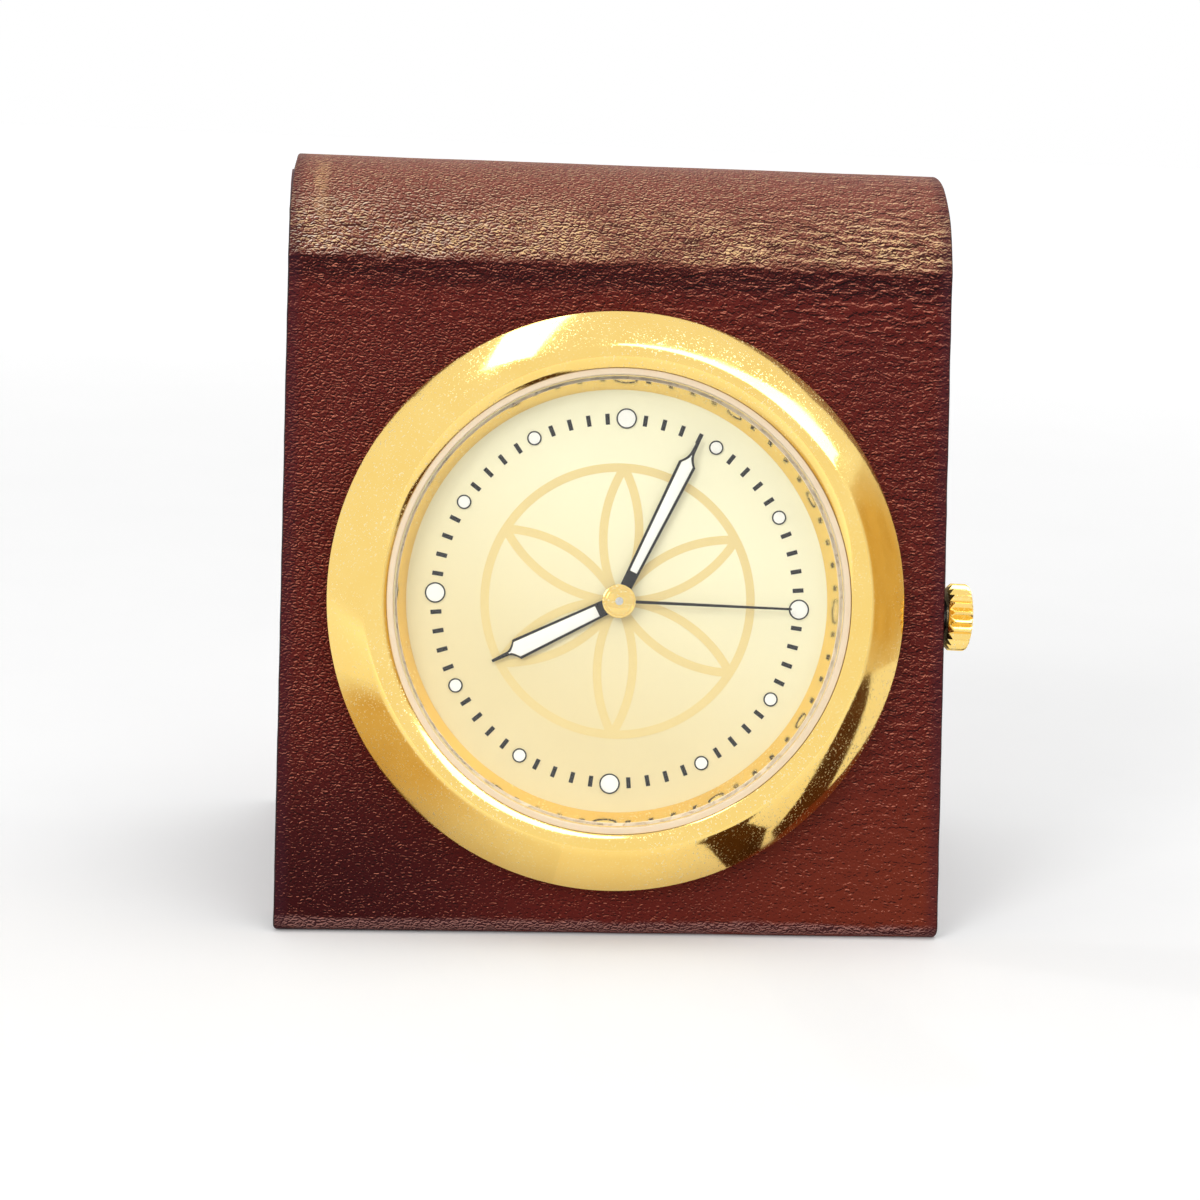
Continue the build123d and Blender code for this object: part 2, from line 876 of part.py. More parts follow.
def stem_shaft():
    """Stem with its setting pinion, lever groove and the end that takes the extension."""
    shaft = rod(stem_radius, pinion_start, stem_end)
    groove_start = lever_rest_place - groove_width / 2
    groove = rod(stem_radius + overrun, groove_start, groove_start + groove_width)
    core = rod(stem_radius - groove_depth, 0, stem_end)
    shaft -= groove - core
    teeth = rod(setting_pinion_radius, pinion_start, pinion_start + setting_pinion_length)
    for number in range(setting_pinion_teeth):
        y, z = polar(setting_pinion_radius, number * 360 / setting_pinion_teeth)
        notch = rod(setting_pinion_tooth / 2, 0, crown_start)
        teeth -= Pos(0, y, z) * notch
    return shaft + teeth


def stem_sleeve():
    """Extension that joins the stem to the crown."""
    sleeve = rod(extension_radius, extension_start, crown_end - crown_face_thickness - seat_gap)
    return sleeve - rod(stem_radius + seat_gap / 2, 0, stem_end + seat_gap)


def spacer_ring():
    """Plastic ring between the movement and the case."""
    bore = movement_radius + running_gap
    foot = movement_radius + clamp_reach + clamp_room
    bottom = back_inner + spigot_height + seat_gap
    ring = washer(case_bore - seat_gap, bore, movement_back, spacer_top)
    ring += washer(case_bore - seat_gap, foot, bottom, movement_back)
    ring -= rod(tube_radius, 0, case_bore + overrun)
    for angle in dial_foot_angles:
        foot_place = clock_place(dial_foot_circle, angle)
        low = dial_back - dial_foot_length - hole_clearance
        ring -= disc(dial_foot_radius + running_gap, low, spacer_top + overrun, foot_place)
    thread_end = movement_back + clamp_screw_length
    for angle in clamp_angles:
        hole = polar(clamp_screw_circle, angle)
        ring -= disc(clamp_screw_radius + seat_gap, movement_back - overrun, thread_end, hole)
    return ring


clamp_angles = [60 + number * 360 / clamp_count for number in range(clamp_count)]
clamp_screw_circle = movement_radius + clamp_reach / 2


def movement_tabs():
    """Flat tabs that hold the movement in the spacer."""
    tabs = []
    for angle in clamp_angles:
        high = movement_back - seat_gap
        low = high - clamp_thickness
        half = clamp_width / 2
        tab = block(movement_radius - clamp_overlap, movement_radius + clamp_reach, -half, half, low, high)
        hole = disc(clamp_screw_radius + seat_gap, low - overrun, high + overrun, (clamp_screw_circle, 0))
        tabs.append(Rot(0, 0, angle) * (tab - hole))
    return tabs


def tab_screws():
    """Screws of the movement's tabs."""
    base = movement_back - 2 * seat_gap - clamp_thickness
    return [
        slotted_screw(
            clamp_screw_head_radius, clamp_screw_head_height, clamp_screw_radius, clamp_screw_length,
            base, True, polar(clamp_screw_circle, angle),
        )
        for angle in clamp_angles
    ]


recess_radius = math.hypot(*setting_place) + motion_module * (setting_teeth / 2 + tip_share) + recess_margin
lever_pivot_place = (lever_place, lever_arm)
lever_top = floor_under - lever_level_gap
battery_top = floor_under - seat_gap
battery_under = battery_top - battery_height
strip_top = battery_under - seat_gap
strip_under = strip_top - clamp_strip_thickness
post_end = bridge_top + seat_gap


def main_cup():
    """Main plate: a cup with the floor that carries the train, its posts and pivot holes."""
    plate = disc(movement_radius, floor_under, spacer_top)
    plate += washer(movement_radius, plate_bore, movement_back, floor_under)
    plate -= disc(recess_radius, recess_floor, spacer_top + overrun)
    plate -= disc(tube_outer + running_gap, floor_under - overrun, recess_floor + overrun)
    for place in (minute_wheel_place, setting_place):
        plate += disc(wheel_post_radius, recess_floor, hour_wheel_top, place)
    thread_radius = bridge_screw_radius + seat_gap
    for place in post_places:
        plate += disc(post_radius, post_end, floor_under, place)
        plate -= disc(thread_radius, post_end - overrun, post_end + bridge_screw_length, place)
    plate += disc(post_radius, strip_top + seat_gap, floor_under, battery_post_place)
    thread_end = strip_top + bridge_screw_length
    plate -= disc(thread_radius, strip_top - overrun, thread_end, battery_post_place)
    plate += disc(lever_pivot_radius, lever_top - lever_thickness - seat_gap, floor_under, lever_pivot_place)
    for place in (intermediate_place, third_place, rotor_place):
        pivot_top = upper_shoulder + pivot_length + floor_gap
        plate -= disc(pivot_radius + running_gap / 2, floor_under - overrun, pivot_top, place)
    return plate - rod(stem_radius + running_gap, plate_bore - overrun, movement_radius + overrun)


def train_cover():
    """Rear bridge, open at the battery, with pivot holes."""
    bridge = disc(plate_bore - seat_gap, movement_back, bridge_top)
    low = movement_back - overrun
    high = bridge_top + overrun
    bridge -= disc(battery_radius + hole_clearance, low, high, battery_place)
    bridge -= disc(bridge_screw_head_radius + hole_clearance, low, high, battery_post_place)
    for place in post_places:
        bridge -= disc(bridge_screw_radius + seat_gap, low, high, place)
    for place in ((0, 0), intermediate_place, third_place, rotor_place):
        bridge -= disc(pivot_radius + running_gap / 2, low, high, place)
    return bridge


def bridge_fixings():
    """Screws of the train bridge."""
    return [
        slotted_screw(
            bridge_screw_head_radius, bridge_screw_head_height, bridge_screw_radius, bridge_screw_length,
            movement_back - seat_gap, True, place,
        )
        for place in post_places
    ]


def button_cell():
    """Coin cell with a stepped rear pole."""
    high = battery_top
    cell = disc(battery_radius, battery_under + battery_step_height, high, battery_place)
    return cell + disc(battery_step_radius, battery_under, battery_under + battery_step_height, battery_place)


def battery_strip():
    """Sprung strip from its post across the cell."""
    away = (battery_place[0] - battery_post_place[0], battery_place[1] - battery_post_place[1])
    length = math.hypot(*away)
    direction = math.degrees(math.atan2(away[1], away[0]))
    strip = block(0, length, -clamp_strip_width / 2, clamp_strip_width / 2, strip_under, strip_top)
    strip += disc(post_radius, strip_under, strip_top)
    strip -= disc(bridge_screw_radius + seat_gap, strip_under - overrun, strip_top + overrun)
    return Pos(*battery_post_place) * Rot(0, 0, direction) * strip


def strip_screw():
    """Screw of the battery strip."""
    length = bridge_screw_length - bridge_screw_head_height
    return slotted_screw(
        bridge_screw_head_radius, bridge_screw_head_height, bridge_screw_radius, length,
        strip_under - seat_gap, True, battery_post_place,
    )


circuit_top = floor_under - seat_gap
circuit_under = circuit_top - circuit_thickness


def circuit_sheet():
    """Circuit board against the plate's floor, trimmed to the plate's wall."""
    half = board_half_height
    sheet = block(-board_left, -board_right, -half, half, circuit_under, circuit_top)
    return sheet & disc(plate_bore - running_gap, circuit_under - overrun, circuit_top + overrun)


def crystal_can():
    """Tuning-fork can lying on the circuit board."""
    level = circuit_under - seat_gap - can_radius
    middle = Plane(origin=(-board_right - can_inset, chip_size / 2, level), z_dir=(0, 1, 0))
    return middle * Cylinder(can_radius, can_length)


def timing_chip():
    """Chip on the circuit board."""
    high = circuit_under - seat_gap
    left = -board_right - chip_size - chip_inset
    top = -chip_size
    return block(left, left + chip_size, top - chip_size, top, high - chip_height, high)


coil_level = (floor_under + bridge_top) / 2
core_low = coil_level - coil_core_thickness / 2
core_top = core_low + coil_core_thickness
stator_low = core_top + seat_gap
stator_top = stator_low + stator_thickness
coil_left = -stator_left + stator_leg_width + coil_margin
coil_right = stator_right + rotor_place[0] - coil_margin


def stator_plate():
    """Soft-iron plate: two legs and a bar with a boss round the rotor."""
    right = rotor_place[0] + stator_right + stator_leg_width
    bar_low = rotor_place[1] - stator_bar_width / 2
    leg_high = coil_line + coil_core_width / 2
    plate = block(-stator_left, right, bar_low, bar_low + stator_bar_width, stator_low, stator_top)
    for left in (-stator_left, right - stator_leg_width):
        plate += block(left, left + stator_leg_width, bar_low, leg_high, stator_low, stator_top)
    rotor_hole = magnet_radius + stator_gap
    plate += disc(rotor_hole + stator_boss, stator_low, stator_top, rotor_place)
    return plate - disc(rotor_hole, stator_low - overrun, stator_top + overrun, rotor_place)


def core_bar():
    """Core of the coil, lying on the stator's two legs."""
    right = rotor_place[0] + stator_right + stator_leg_width
    half = coil_core_width / 2
    return block(-stator_left, right, coil_line - half, coil_line + half, core_low, core_top)


def winding():
    """Copper winding on the core."""
    middle = Plane(origin=((coil_left + coil_right) / 2, coil_line, coil_level), z_dir=(1, 0, 0))
    coil = middle * Cylinder(coil_radius, coil_right - coil_left)
    half = coil_core_width / 2 + seat_gap
    slot = block(
        coil_left - overrun, coil_right + overrun, coil_line - half, coil_line + half,
        core_low - seat_gap, core_top + seat_gap,
    )
    return coil - slot


def rotor_shaft():
    """Magnet rotor with its pinion."""
    shaft = arbor(rotor_place, upper_shoulder, lower_shoulder)
    middle = (stator_low + stator_top) / 2
    shaft += disc(magnet_radius, middle - magnet_height / 2, middle + magnet_height / 2, rotor_place)
    return shaft + pinion(rotor_teeth, rotor_module, rotor_phase, intermediate_wheel_top, rotor_place)


# Tooth phases at rest, from the rotor to the centre and on to the hands
rotor_phase = 0
intermediate_phase = meshing_phase(rotor_direction + 180, rotor_phase, rotor_teeth, intermediate_teeth)
intermediate_pinion_phase = 0
seconds_phase = meshing_phase(
    intermediate_direction + 180, intermediate_pinion_phase, intermediate_pinion_teeth, seconds_teeth
)
seconds_pinion_phase = 0
third_phase = meshing_phase(third_direction, seconds_pinion_phase, seconds_pinion_teeth, third_teeth)
third_pinion_phase = 0
centre_phase = meshing_phase(third_direction + 180, third_pinion_phase, third_pinion_teeth, centre_teeth)
cannon_phase = 0
minute_wheel_phase = meshing_phase(minute_wheel_direction, cannon_phase, cannon_teeth, minute_wheel_teeth)
minute_pinion_phase = 0
hour_wheel_phase = meshing_phase(
    minute_wheel_direction + 180, minute_pinion_phase, minute_pinion_teeth, hour_wheel_teeth
)
setting_phase = meshing_phase(setting_direction, minute_wheel_phase, minute_wheel_teeth, setting_teeth)


def intermediate_gear():
    """Intermediate wheel and its pinion."""
    place = intermediate_place
    shaft = arbor(place, upper_shoulder, lower_shoulder)
    shaft += wheel(intermediate_teeth, rotor_module, intermediate_phase, intermediate_wheel_top, place)
    return shaft + pinion(
        intermediate_pinion_teeth, seconds_module, intermediate_pinion_phase, seconds_wheel_top, place
    )


def seconds_gear():
    """Seconds wheel, its pinion and the long arbor that carries the seconds hand."""
    top = cap_level + cap_thickness + cap_step_thickness - seat_gap
    shaft = disc(arbor_radius, lower_shoulder, top)
    shaft += disc(pivot_radius, lower_shoulder - pivot_length, lower_shoulder)
    shaft += wheel(seconds_teeth, seconds_module, seconds_phase, seconds_wheel_top)
    return shaft + pinion(seconds_pinion_teeth, third_module, seconds_pinion_phase, third_wheel_top)


def third_gear():
    """Third wheel and its pinion."""
    shaft = arbor(third_place, upper_shoulder, lower_shoulder)
    shaft += wheel(third_teeth, third_module, third_phase, third_wheel_top, third_place)
    return shaft + pinion(
        third_pinion_teeth, centre_module, third_pinion_phase, centre_wheel_top, third_place
    )


def centre_gear():
    """Centre wheel, its tube and the cannon pinion that drives the motion work."""
    low = centre_wheel_top - wheel_thickness
    tube = disc(tube_outer, low, minute_level + hand_thickness)
    tube += wheel(centre_teeth, centre_module, centre_phase, centre_wheel_top)
    tube += pinion(cannon_teeth, motion_module, cannon_phase, minute_wheel_top)
    return tube - disc(tube_bore, low - overrun, minute_level + overrun)


def minute_gear():
    """Minute wheel and its pinion, running on a post."""
    place = minute_wheel_place
    gears = wheel(minute_wheel_teeth, motion_module, minute_wheel_phase, minute_wheel_top, place)
    low = minute_wheel_top
    high = hour_wheel_top + pinion_overlap
    gears += gear(minute_pinion_teeth, hour_module, minute_pinion_phase, low, high, place)
    return gears - disc(wheel_post_radius + running_gap, low - overrun, hour_wheel_top + overrun, place)


def hour_gear():
    """Hour wheel with the pipe that carries the hour hand."""
    low = hour_wheel_top - wheel_thickness
    pipe = disc(pipe_radius, low, hour_level + hand_thickness)
    pipe += wheel(hour_wheel_teeth, hour_module, hour_wheel_phase, hour_wheel_top)
    return pipe - disc(pipe_bore, low - overrun, hour_level + overrun)


def setting_gear():
    """Setting wheel, always in mesh with the minute wheel, on a post above the stem."""
    gears = wheel(setting_teeth, motion_module, setting_phase, minute_wheel_top, setting_place)
    return gears - disc(
        wheel_post_radius + running_gap, minute_wheel_top - overrun, hour_wheel_top + overrun, setting_place
    )


def detent_lever():
    """Setting lever, whose pin runs in the stem's groove."""
    low = lever_top - lever_thickness
    arm = block(-lever_half_width, lever_half_width, -lever_arm, 0, low, lever_top)
    arm += disc(lever_boss_radius, low, lever_top)
    pin_end = -crown_level + stem_radius - groove_depth + seat_gap
    arm += disc(lever_pin_radius, pin_end, lever_top, (0, -lever_arm))
    arm -= disc(lever_pivot_radius + running_gap, low - overrun, lever_top + overrun)
    swing = -math.degrees(math.asin(crown_pull / 2 / lever_arm))
    return Pos(*lever_pivot_place) * Rot(0, 0, swing) * arm


stand_pieces = {
    "cover_front": front_leather,
    "front_board": front_core,
    "front_lining": front_lining,
    "cover_rear": leg_leather,
    "leg_board": leg_core,
    "leg_lining": leg_lining,
}

head_pieces = {
    "bezel": bezel_ring,
    "crystal": crystal_glass,
    "crystal_gasket": gasket_ring,
    "rehaut_ring": rehaut,
    "dial": dial_plate,
    "hour_markers": marker_dots,
    "hour_hand": hour_frame,
    "hour_hand_lume": hour_filling,
    "minute_hand": minute_frame,
    "minute_hand_lume": minute_filling,
    "seconds_hand": seconds_needle,
    "hub_cap": stepped_cap,
    "hub_pin": cap_pin,
    "case_body": case_ring,
    "case_back": rear_plate,
    "case_back_gasket": rear_gasket,
    "case_back_screws": rear_screws,
    "crown": winding_crown,
    "crown_tube": guide_tube,
    "crown_gasket": crown_ring,
    "stem": stem_shaft,
    "stem_extension": stem_sleeve,
    "movement_spacer": spacer_ring,
    "movement_clamps": movement_tabs,
    "movement_clamp_screws": tab_screws,
    "main_plate": main_cup,
    "train_bridge": train_cover,
    "bridge_screws": bridge_fixings,
    "battery": button_cell,
    "battery_clamp": battery_strip,
    "battery_clamp_screw": strip_screw,
    "circuit_board": circuit_sheet,
    "quartz_can": crystal_can,
    "control_chip": timing_chip,
    "stator": stator_plate,
    "coil_core": core_bar,
    "coil_winding": winding,
    "rotor": rotor_shaft,
    "intermediate_wheel": intermediate_gear,
    "seconds_wheel": seconds_gear,
    "third_wheel": third_gear,
    "centre_wheel": centre_gear,
    "minute_wheel": minute_gear,
    "hour_wheel": hour_gear,
    "setting_wheel": setting_gear,
    "setting_lever": detent_lever,
}


def build_all():
    """Every piece in its place, before the origin is set."""
    pieces = {name: make() for name, make in stand_pieces.items()}
    pieces["cover_spine"] = roll_sheet(roll_radius, leather_thickness)
    pieces["spine_lining"] = roll_sheet(roll_radius - leather_thickness, lining_thickness)
    for name, make in head_pieces.items():
        made = make()
        if isinstance(made, list):
            pieces[name] = Compound(children=[head * solid for solid in made])
        else:
            pieces[name] = head * made
    return pieces


def origin_shift(pieces):
    """Move that puts the origin under the middle of the whole clock."""
    boxes = [piece.bounding_box() for piece in pieces.values()]
    low_x = min(box.min.X for box in boxes)
    high_x = max(box.max.X for box in boxes)
    low_y = min(box.min.Y for box in boxes)
    high_y = max(box.max.Y for box in boxes)
    return Pos(-(low_x + high_x) / 2, -(low_y + high_y) / 2, 0)


os.makedirs("parts", exist_ok=True)
pieces = build_all()
shift = origin_shift(pieces)
for name, piece in pieces.items():
    export_step(shift * piece, f"parts/{name}.step")
print("origin shift", shift.position)
print("nodes", len(pieces))
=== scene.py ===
# %% [markdown]
# # A folding easel clock in leather and gold, dressed in Blender
#
# The real object is a small desk clock.  One sheet of burgundy leather covers a stiff front block,
# runs over a hollow roll at the top and comes down behind as the rear leg of an easel.  A round gold
# clock head sits in the block.  The CAD model fixes every place and size; this lesson gives each
# surface its real shape and finish.

# %% Load the fixed frame
import math

import bmesh
import bpy
from mathutils import Matrix, Vector, noise


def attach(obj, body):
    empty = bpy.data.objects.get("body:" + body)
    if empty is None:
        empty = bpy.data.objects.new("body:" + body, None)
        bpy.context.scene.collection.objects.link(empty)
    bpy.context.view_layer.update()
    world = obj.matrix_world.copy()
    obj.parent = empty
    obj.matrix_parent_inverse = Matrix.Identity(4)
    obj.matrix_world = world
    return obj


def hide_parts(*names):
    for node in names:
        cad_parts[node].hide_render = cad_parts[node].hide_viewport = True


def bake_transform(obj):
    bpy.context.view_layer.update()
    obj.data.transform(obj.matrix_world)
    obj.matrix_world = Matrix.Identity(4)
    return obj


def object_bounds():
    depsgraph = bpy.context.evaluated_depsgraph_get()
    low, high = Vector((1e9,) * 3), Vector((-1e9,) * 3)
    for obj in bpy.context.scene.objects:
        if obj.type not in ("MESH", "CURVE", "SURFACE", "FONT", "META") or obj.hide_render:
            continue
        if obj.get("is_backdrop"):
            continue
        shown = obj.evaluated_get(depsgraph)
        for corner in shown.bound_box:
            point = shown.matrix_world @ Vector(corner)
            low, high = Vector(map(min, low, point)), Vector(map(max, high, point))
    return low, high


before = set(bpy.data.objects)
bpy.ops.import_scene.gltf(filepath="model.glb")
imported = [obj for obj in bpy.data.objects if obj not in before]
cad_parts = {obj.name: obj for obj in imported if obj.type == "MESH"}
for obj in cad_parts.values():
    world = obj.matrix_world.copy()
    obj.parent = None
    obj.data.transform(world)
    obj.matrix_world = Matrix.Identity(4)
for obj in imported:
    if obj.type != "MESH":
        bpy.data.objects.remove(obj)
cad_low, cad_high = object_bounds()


def in_mm(values):
    """Metres as round millimetres, for printing."""
    return [round(1000 * value, 2) for value in values]


print("box in mm", in_mm(high - low for low, high in zip(cad_low, cad_high)))

# %% [markdown]
# ## Measures of the stand
#
# The stand is easiest to describe from the side, as distances in millimetres.  On the front block
# a point is so far up its face and so deep behind it; on the rear leg it is so far down from the
# roll and so deep inside the outer face.  Small functions turn these into places in the frame, so
# that a new skin falls exactly where the CAD skin was.

# %% Sizes and places in millimetres
MM = 0.001
LEAN, SPLAY = math.radians(12.0), math.radians(10.0)
MIDDLE_X, FOOT_Y = -1.47233, -21.98028
HALF_WIDTH, FRONT_HEIGHT, ROLL_RADIUS = 33.23, 66.86, 11.2
LEATHER, LINING = 1.2, 0.8
BLOCK_DEPTH, LEG_DEPTH = 7.0, 3.2
ROLL_START, ROLL_END = 168, 10  # degrees, where the roll leaves the front and meets the leg


def on_block(up, depth):
    y = up * math.sin(LEAN) + depth * math.cos(LEAN) + FOOT_Y
    z = up * math.cos(LEAN) - depth * math.sin(LEAN)
    return Vector((y, z))


def block_at_height(height, depth):
    return on_block((height + depth * math.sin(LEAN)) / math.cos(LEAN), depth)


roll_centre = on_block(FRONT_HEIGHT, ROLL_RADIUS)


def on_leg(down, depth):
    reach = ROLL_RADIUS - depth
    y = roll_centre[0] + reach * math.cos(SPLAY) + down * math.sin(SPLAY)
    z = roll_centre[1] + reach * math.sin(SPLAY) - down * math.cos(SPLAY)
    return Vector((y, z))


def leg_at_height(height, depth):
    top = on_leg(0, depth)[1]
    return on_leg((top - height) / math.cos(SPLAY), depth)


def in_frame(place):
    """A place on the middle plane, in metres."""
    return Vector((MIDDLE_X, *place)) * MM


print("roll centre", [round(value, 3) for value in roll_centre])

# %% [markdown]
# ## The head's own place
#
# Everything on the clock head is turned or laid out round one axis.  It is modelled in millimetres
# with +Z out of the dial and +X to 3 o'clock, and one matrix carries the finished mesh to its place
# on the leaning face.  The object itself stays at the origin, as a CAD node does.

# %% Matrix of the clock head
HEAD_HEIGHT = 33.48
HEAD_TURN = math.radians(-1.4)


def axes(*columns):
    """A turn whose columns are the given directions."""
    return Matrix([Vector(column) for column in columns]).transposed().to_4x4()


face_out = (0, -math.cos(LEAN), math.sin(LEAN))
face_up = (0, math.sin(LEAN), math.cos(LEAN))
head_place = (
    Matrix.Translation(in_frame(on_block(HEAD_HEIGHT, 0)))
    @ axes((1, 0, 0), face_up, face_out)
    @ Matrix.Rotation(HEAD_TURN, 4, "Z")
    @ Matrix.Scale(MM, 4)
)
print("head centre in mm", in_mm(head_place.translation))

# %% [markdown]
# ## Camera
#
# The photograph was taken from slightly left of and above the middle, with a long lens and a small
# roll.  The bearing, height, distance and roll come from fitting the outline of the leather, the
# bezel and the dial's dots to the picture, so the camera is set before anything is modelled.

# %% Camera as in the photograph
BEARING, HEIGHT_ANGLE, ROLL = (math.radians(angle) for angle in (-5.268, 12.063, 2.405))
DISTANCE, AIM_HEIGHT = 276.65, 33.09
PICTURE_PIXELS, FOCAL_PIXELS = 1200, 2781.4
AIM_PIXEL = (616.4, 605.0)
SENSOR = 36


def placed(name, data):
    """A new object in the scene."""
    item = bpy.data.objects.new(name, data)
    bpy.context.scene.collection.objects.link(item)
    return item


back = Vector((
    math.sin(BEARING) * math.cos(HEIGHT_ANGLE),
    -math.cos(BEARING) * math.cos(HEIGHT_ANGLE),
    math.sin(HEIGHT_ANGLE),
))
level_right = (-back).cross(Vector((0, 0, 1))).normalized()
level_up = level_right.cross(-back)
right = level_right * math.cos(ROLL) + level_up * math.sin(ROLL)
up = level_up * math.cos(ROLL) - level_right * math.sin(ROLL)
camera_data = bpy.data.cameras.new("camera")
camera_data.sensor_width = SENSOR
camera_data.lens = SENSOR * FOCAL_PIXELS / PICTURE_PIXELS
camera_data.shift_x = (PICTURE_PIXELS / 2 - AIM_PIXEL[0]) / PICTURE_PIXELS
camera_data.shift_y = (AIM_PIXEL[1] - PICTURE_PIXELS / 2) / PICTURE_PIXELS
camera_data.clip_start, camera_data.clip_end = 0.01, 20
camera = placed("camera", camera_data)
bpy.context.scene.camera = camera
eye = in_frame(on_block(AIM_HEIGHT, 0)) + back * DISTANCE * MM
camera.matrix_world = Matrix.Translation(eye) @ axes(right, up, back)
print("camera at mm", in_mm(camera.matrix_world.translation))

# %% [markdown]
# ## Helpers for pieces
#
# A piece is first a mesh in head millimetres or in frame metres.  One helper cleans it, shades it
# smooth with real edges kept sharp, gives it a finish and ties it to its body.  Another turns an
# outline of radius and level round the head's axis, as a lathe does; where the outline touches the
# axis it makes one pole point instead of a ring of doubled ones.

# %% Helpers that finish and turn pieces
def plain_mesh(name, points, faces):
    mesh = bpy.data.meshes.new(name)
    mesh.from_pydata(points, [], faces)
    return mesh


def result_of(item):
    """The object's finished mesh; the object itself goes."""
    bpy.context.view_layer.update()
    mesh = bpy.data.meshes.new_from_object(item.evaluated_get(bpy.context.evaluated_depsgraph_get()))
    bpy.data.objects.remove(item)
    return mesh


def faced_outwards(mesh, weld=0.0):
    """Face directions put right, and doubled points welded where a distance is given."""
    soup = bmesh.new()
    soup.from_mesh(mesh)
    if weld:
        bmesh.ops.remove_doubles(soup, verts=soup.verts, dist=weld)
    bmesh.ops.recalc_face_normals(soup, faces=soup.faces)
    soup.to_mesh(mesh)
    soup.free()
    return mesh


def finish_piece(name, mesh, material, body, nodes=(), sharp=30, place=head_place):
    """Place the mesh, shade it and tie it to its body."""
    if place is not None:
        mesh.transform(place)
    faced_outwards(mesh, 1e-7)
    for polygon in mesh.polygons:
        polygon.use_smooth = True
    mesh.set_sharp_from_angle(angle=math.radians(sharp))
    mesh.materials.clear()
    mesh.materials.append(material)
    piece = placed(name, mesh)
    if body:
        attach(piece, body)
    if nodes:
        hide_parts(*nodes)
    print(name, len(mesh.polygons), "faces")
    return piece


def turned_mesh(name, outline, segments, ring=True, tweak=None):
    """Turn an outline of (radius, level) round the head's axis."""
    points, rows, faces = [], [], []
    for radius, level in outline:
        if radius < 1e-6:
            rows.append([len(points)])
            points.append((0, 0, level))
            continue
        rows.append(list(range(len(points), len(points) + segments)))
        for step in range(segments):
            angle = 2 * math.pi * step / segments
            reach = tweak(radius, level, angle) if tweak else radius
            points.append((reach * math.cos(angle), reach * math.sin(angle), level))
    pairs = list(zip(rows, rows[1:]))
    if ring:
        pairs.append((rows[-1], rows[0]))
    for first, second in pairs:
        for step in range(segments):
            after = (step + 1) % segments
            corner = [first[step % len(first)], first[after % len(first)]]
            corner += [second[after % len(second)], second[step % len(second)]]
            corner = list(dict.fromkeys(corner))
            if len(corner) > 2:
                faces.append(corner)
    return plain_mesh(name, points, faces)


def turned_piece(name, outline, material, body, cad_node, segments, sharp=30, ring=True):
    """A finished piece that is one turned outline."""
    mesh = turned_mesh(name, outline, segments, ring)
    return finish_piece(name, mesh, material, body, (cad_node,), sharp)


def arc_points(centre, radius, start, end, steps):
    """Points of an arc in (radius, level), with angles in degrees."""
    made = []
    for step in range(steps + 1):
        angle = math.radians(start + (end - start) * step / steps)
        made.append((centre[0] + radius * math.cos(angle), centre[1] + radius * math.sin(angle)))
    return made


def dress(node_name, material):
    """Give a CAD node its finish."""
    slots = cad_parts[node_name].data.materials
    slots.clear()
    slots.append(material)


print("piece helpers ready")

# %% [markdown]
# ## Helpers for finishes
#
# A finish here is a Principled shader fed by noise, cells and gradients.  Built node by node it
# takes many lines, so a node's output is wrapped as a value that can be added and multiplied like a
# number: each sum adds its maths node to the tree that the value belongs to.  Colours are written
# as the eight-bit values that a painter reads off a swatch.

# %% Values that carry their node tree
class Value:
    """A node's output, which takes part in sums."""

    def __init__(self, socket):
        self.socket, self.tree = socket, socket.id_data

    def other(self, name):
        """Another output of the same node."""
        return Value(self.socket.node.outputs[name])

    def __add__(self, other):
        return maths("ADD", self, other)

    def __sub__(self, other):
        return maths("SUBTRACT", self, other)

    def __rsub__(self, other):
        return maths("SUBTRACT", other, self)

    def __mul__(self, other):
        return maths("MULTIPLY", self, other)

    def __truediv__(self, other):
        return maths("DIVIDE", self, other)

    def __rtruediv__(self, other):
        return maths("DIVIDE", other, self)

    __radd__, __rmul__ = __add__, __mul__


def add(tree, kind, inputs=None, **settings):
    """A node with its settings, its constants and its links."""
    made = tree.nodes.new(kind)
    for key, setting in settings.items():
        setattr(made, key, setting)
    for socket, given in (inputs or {}).items():
        if isinstance(given, Value):
            tree.links.new(given.socket, made.inputs[socket])
        else:
            made.inputs[socket].default_value = given
    return made


def node(near, kind, inputs=None, pick=0, **settings):
    """The picked output of a new node, in the given tree or in that of the given value."""
    return Value(add(getattr(near, "tree", near), kind, inputs, **settings).outputs[pick])


def maths(operation, first, second=0.0):
    """One sum on two values, of which one may be a plain number."""
    near = first if isinstance(first, Value) else second
    return node(near, "ShaderNodeMath", {0: first, 1: second}, operation=operation)


def vectors(operation, first, second=(0, 0, 0), pick=0):
    """One sum on places or directions."""
    return node(first, "ShaderNodeVectorMath", {0: first, 1: second}, pick, operation=operation)


def scaled(place, factor):
    return node(place, "ShaderNodeVectorMath", {0: place, 3: factor}, operation="SCALE")


def split(place):
    """The first two parts of a place: across and along."""
    across = node(place, "ShaderNodeSeparateXYZ", {0: place})
    return across, across.other(1)


print("values ready")

# %% Helpers that build node finishes
def paint(red, green, blue):
    """A swatch colour, 0 to 255, as linear light."""
    made = []
    for value in (red, green, blue):
        value = value / 255
        made.append(value / 12.92 if value <= 0.04045 else ((value + 0.055) / 1.055) ** 2.4)
    return (*made, 1.0)


def mixed(share, first, second):
    """One colour over another."""
    return node(share, "ShaderNodeMix", {0: share, 6: first, 7: second}, 2, data_type="RGBA")


def coated(colour, *coats):
    """A colour under coats, each a share and a colour."""
    for share, coat in coats:
        colour = mixed(share, colour, coat)
    return colour


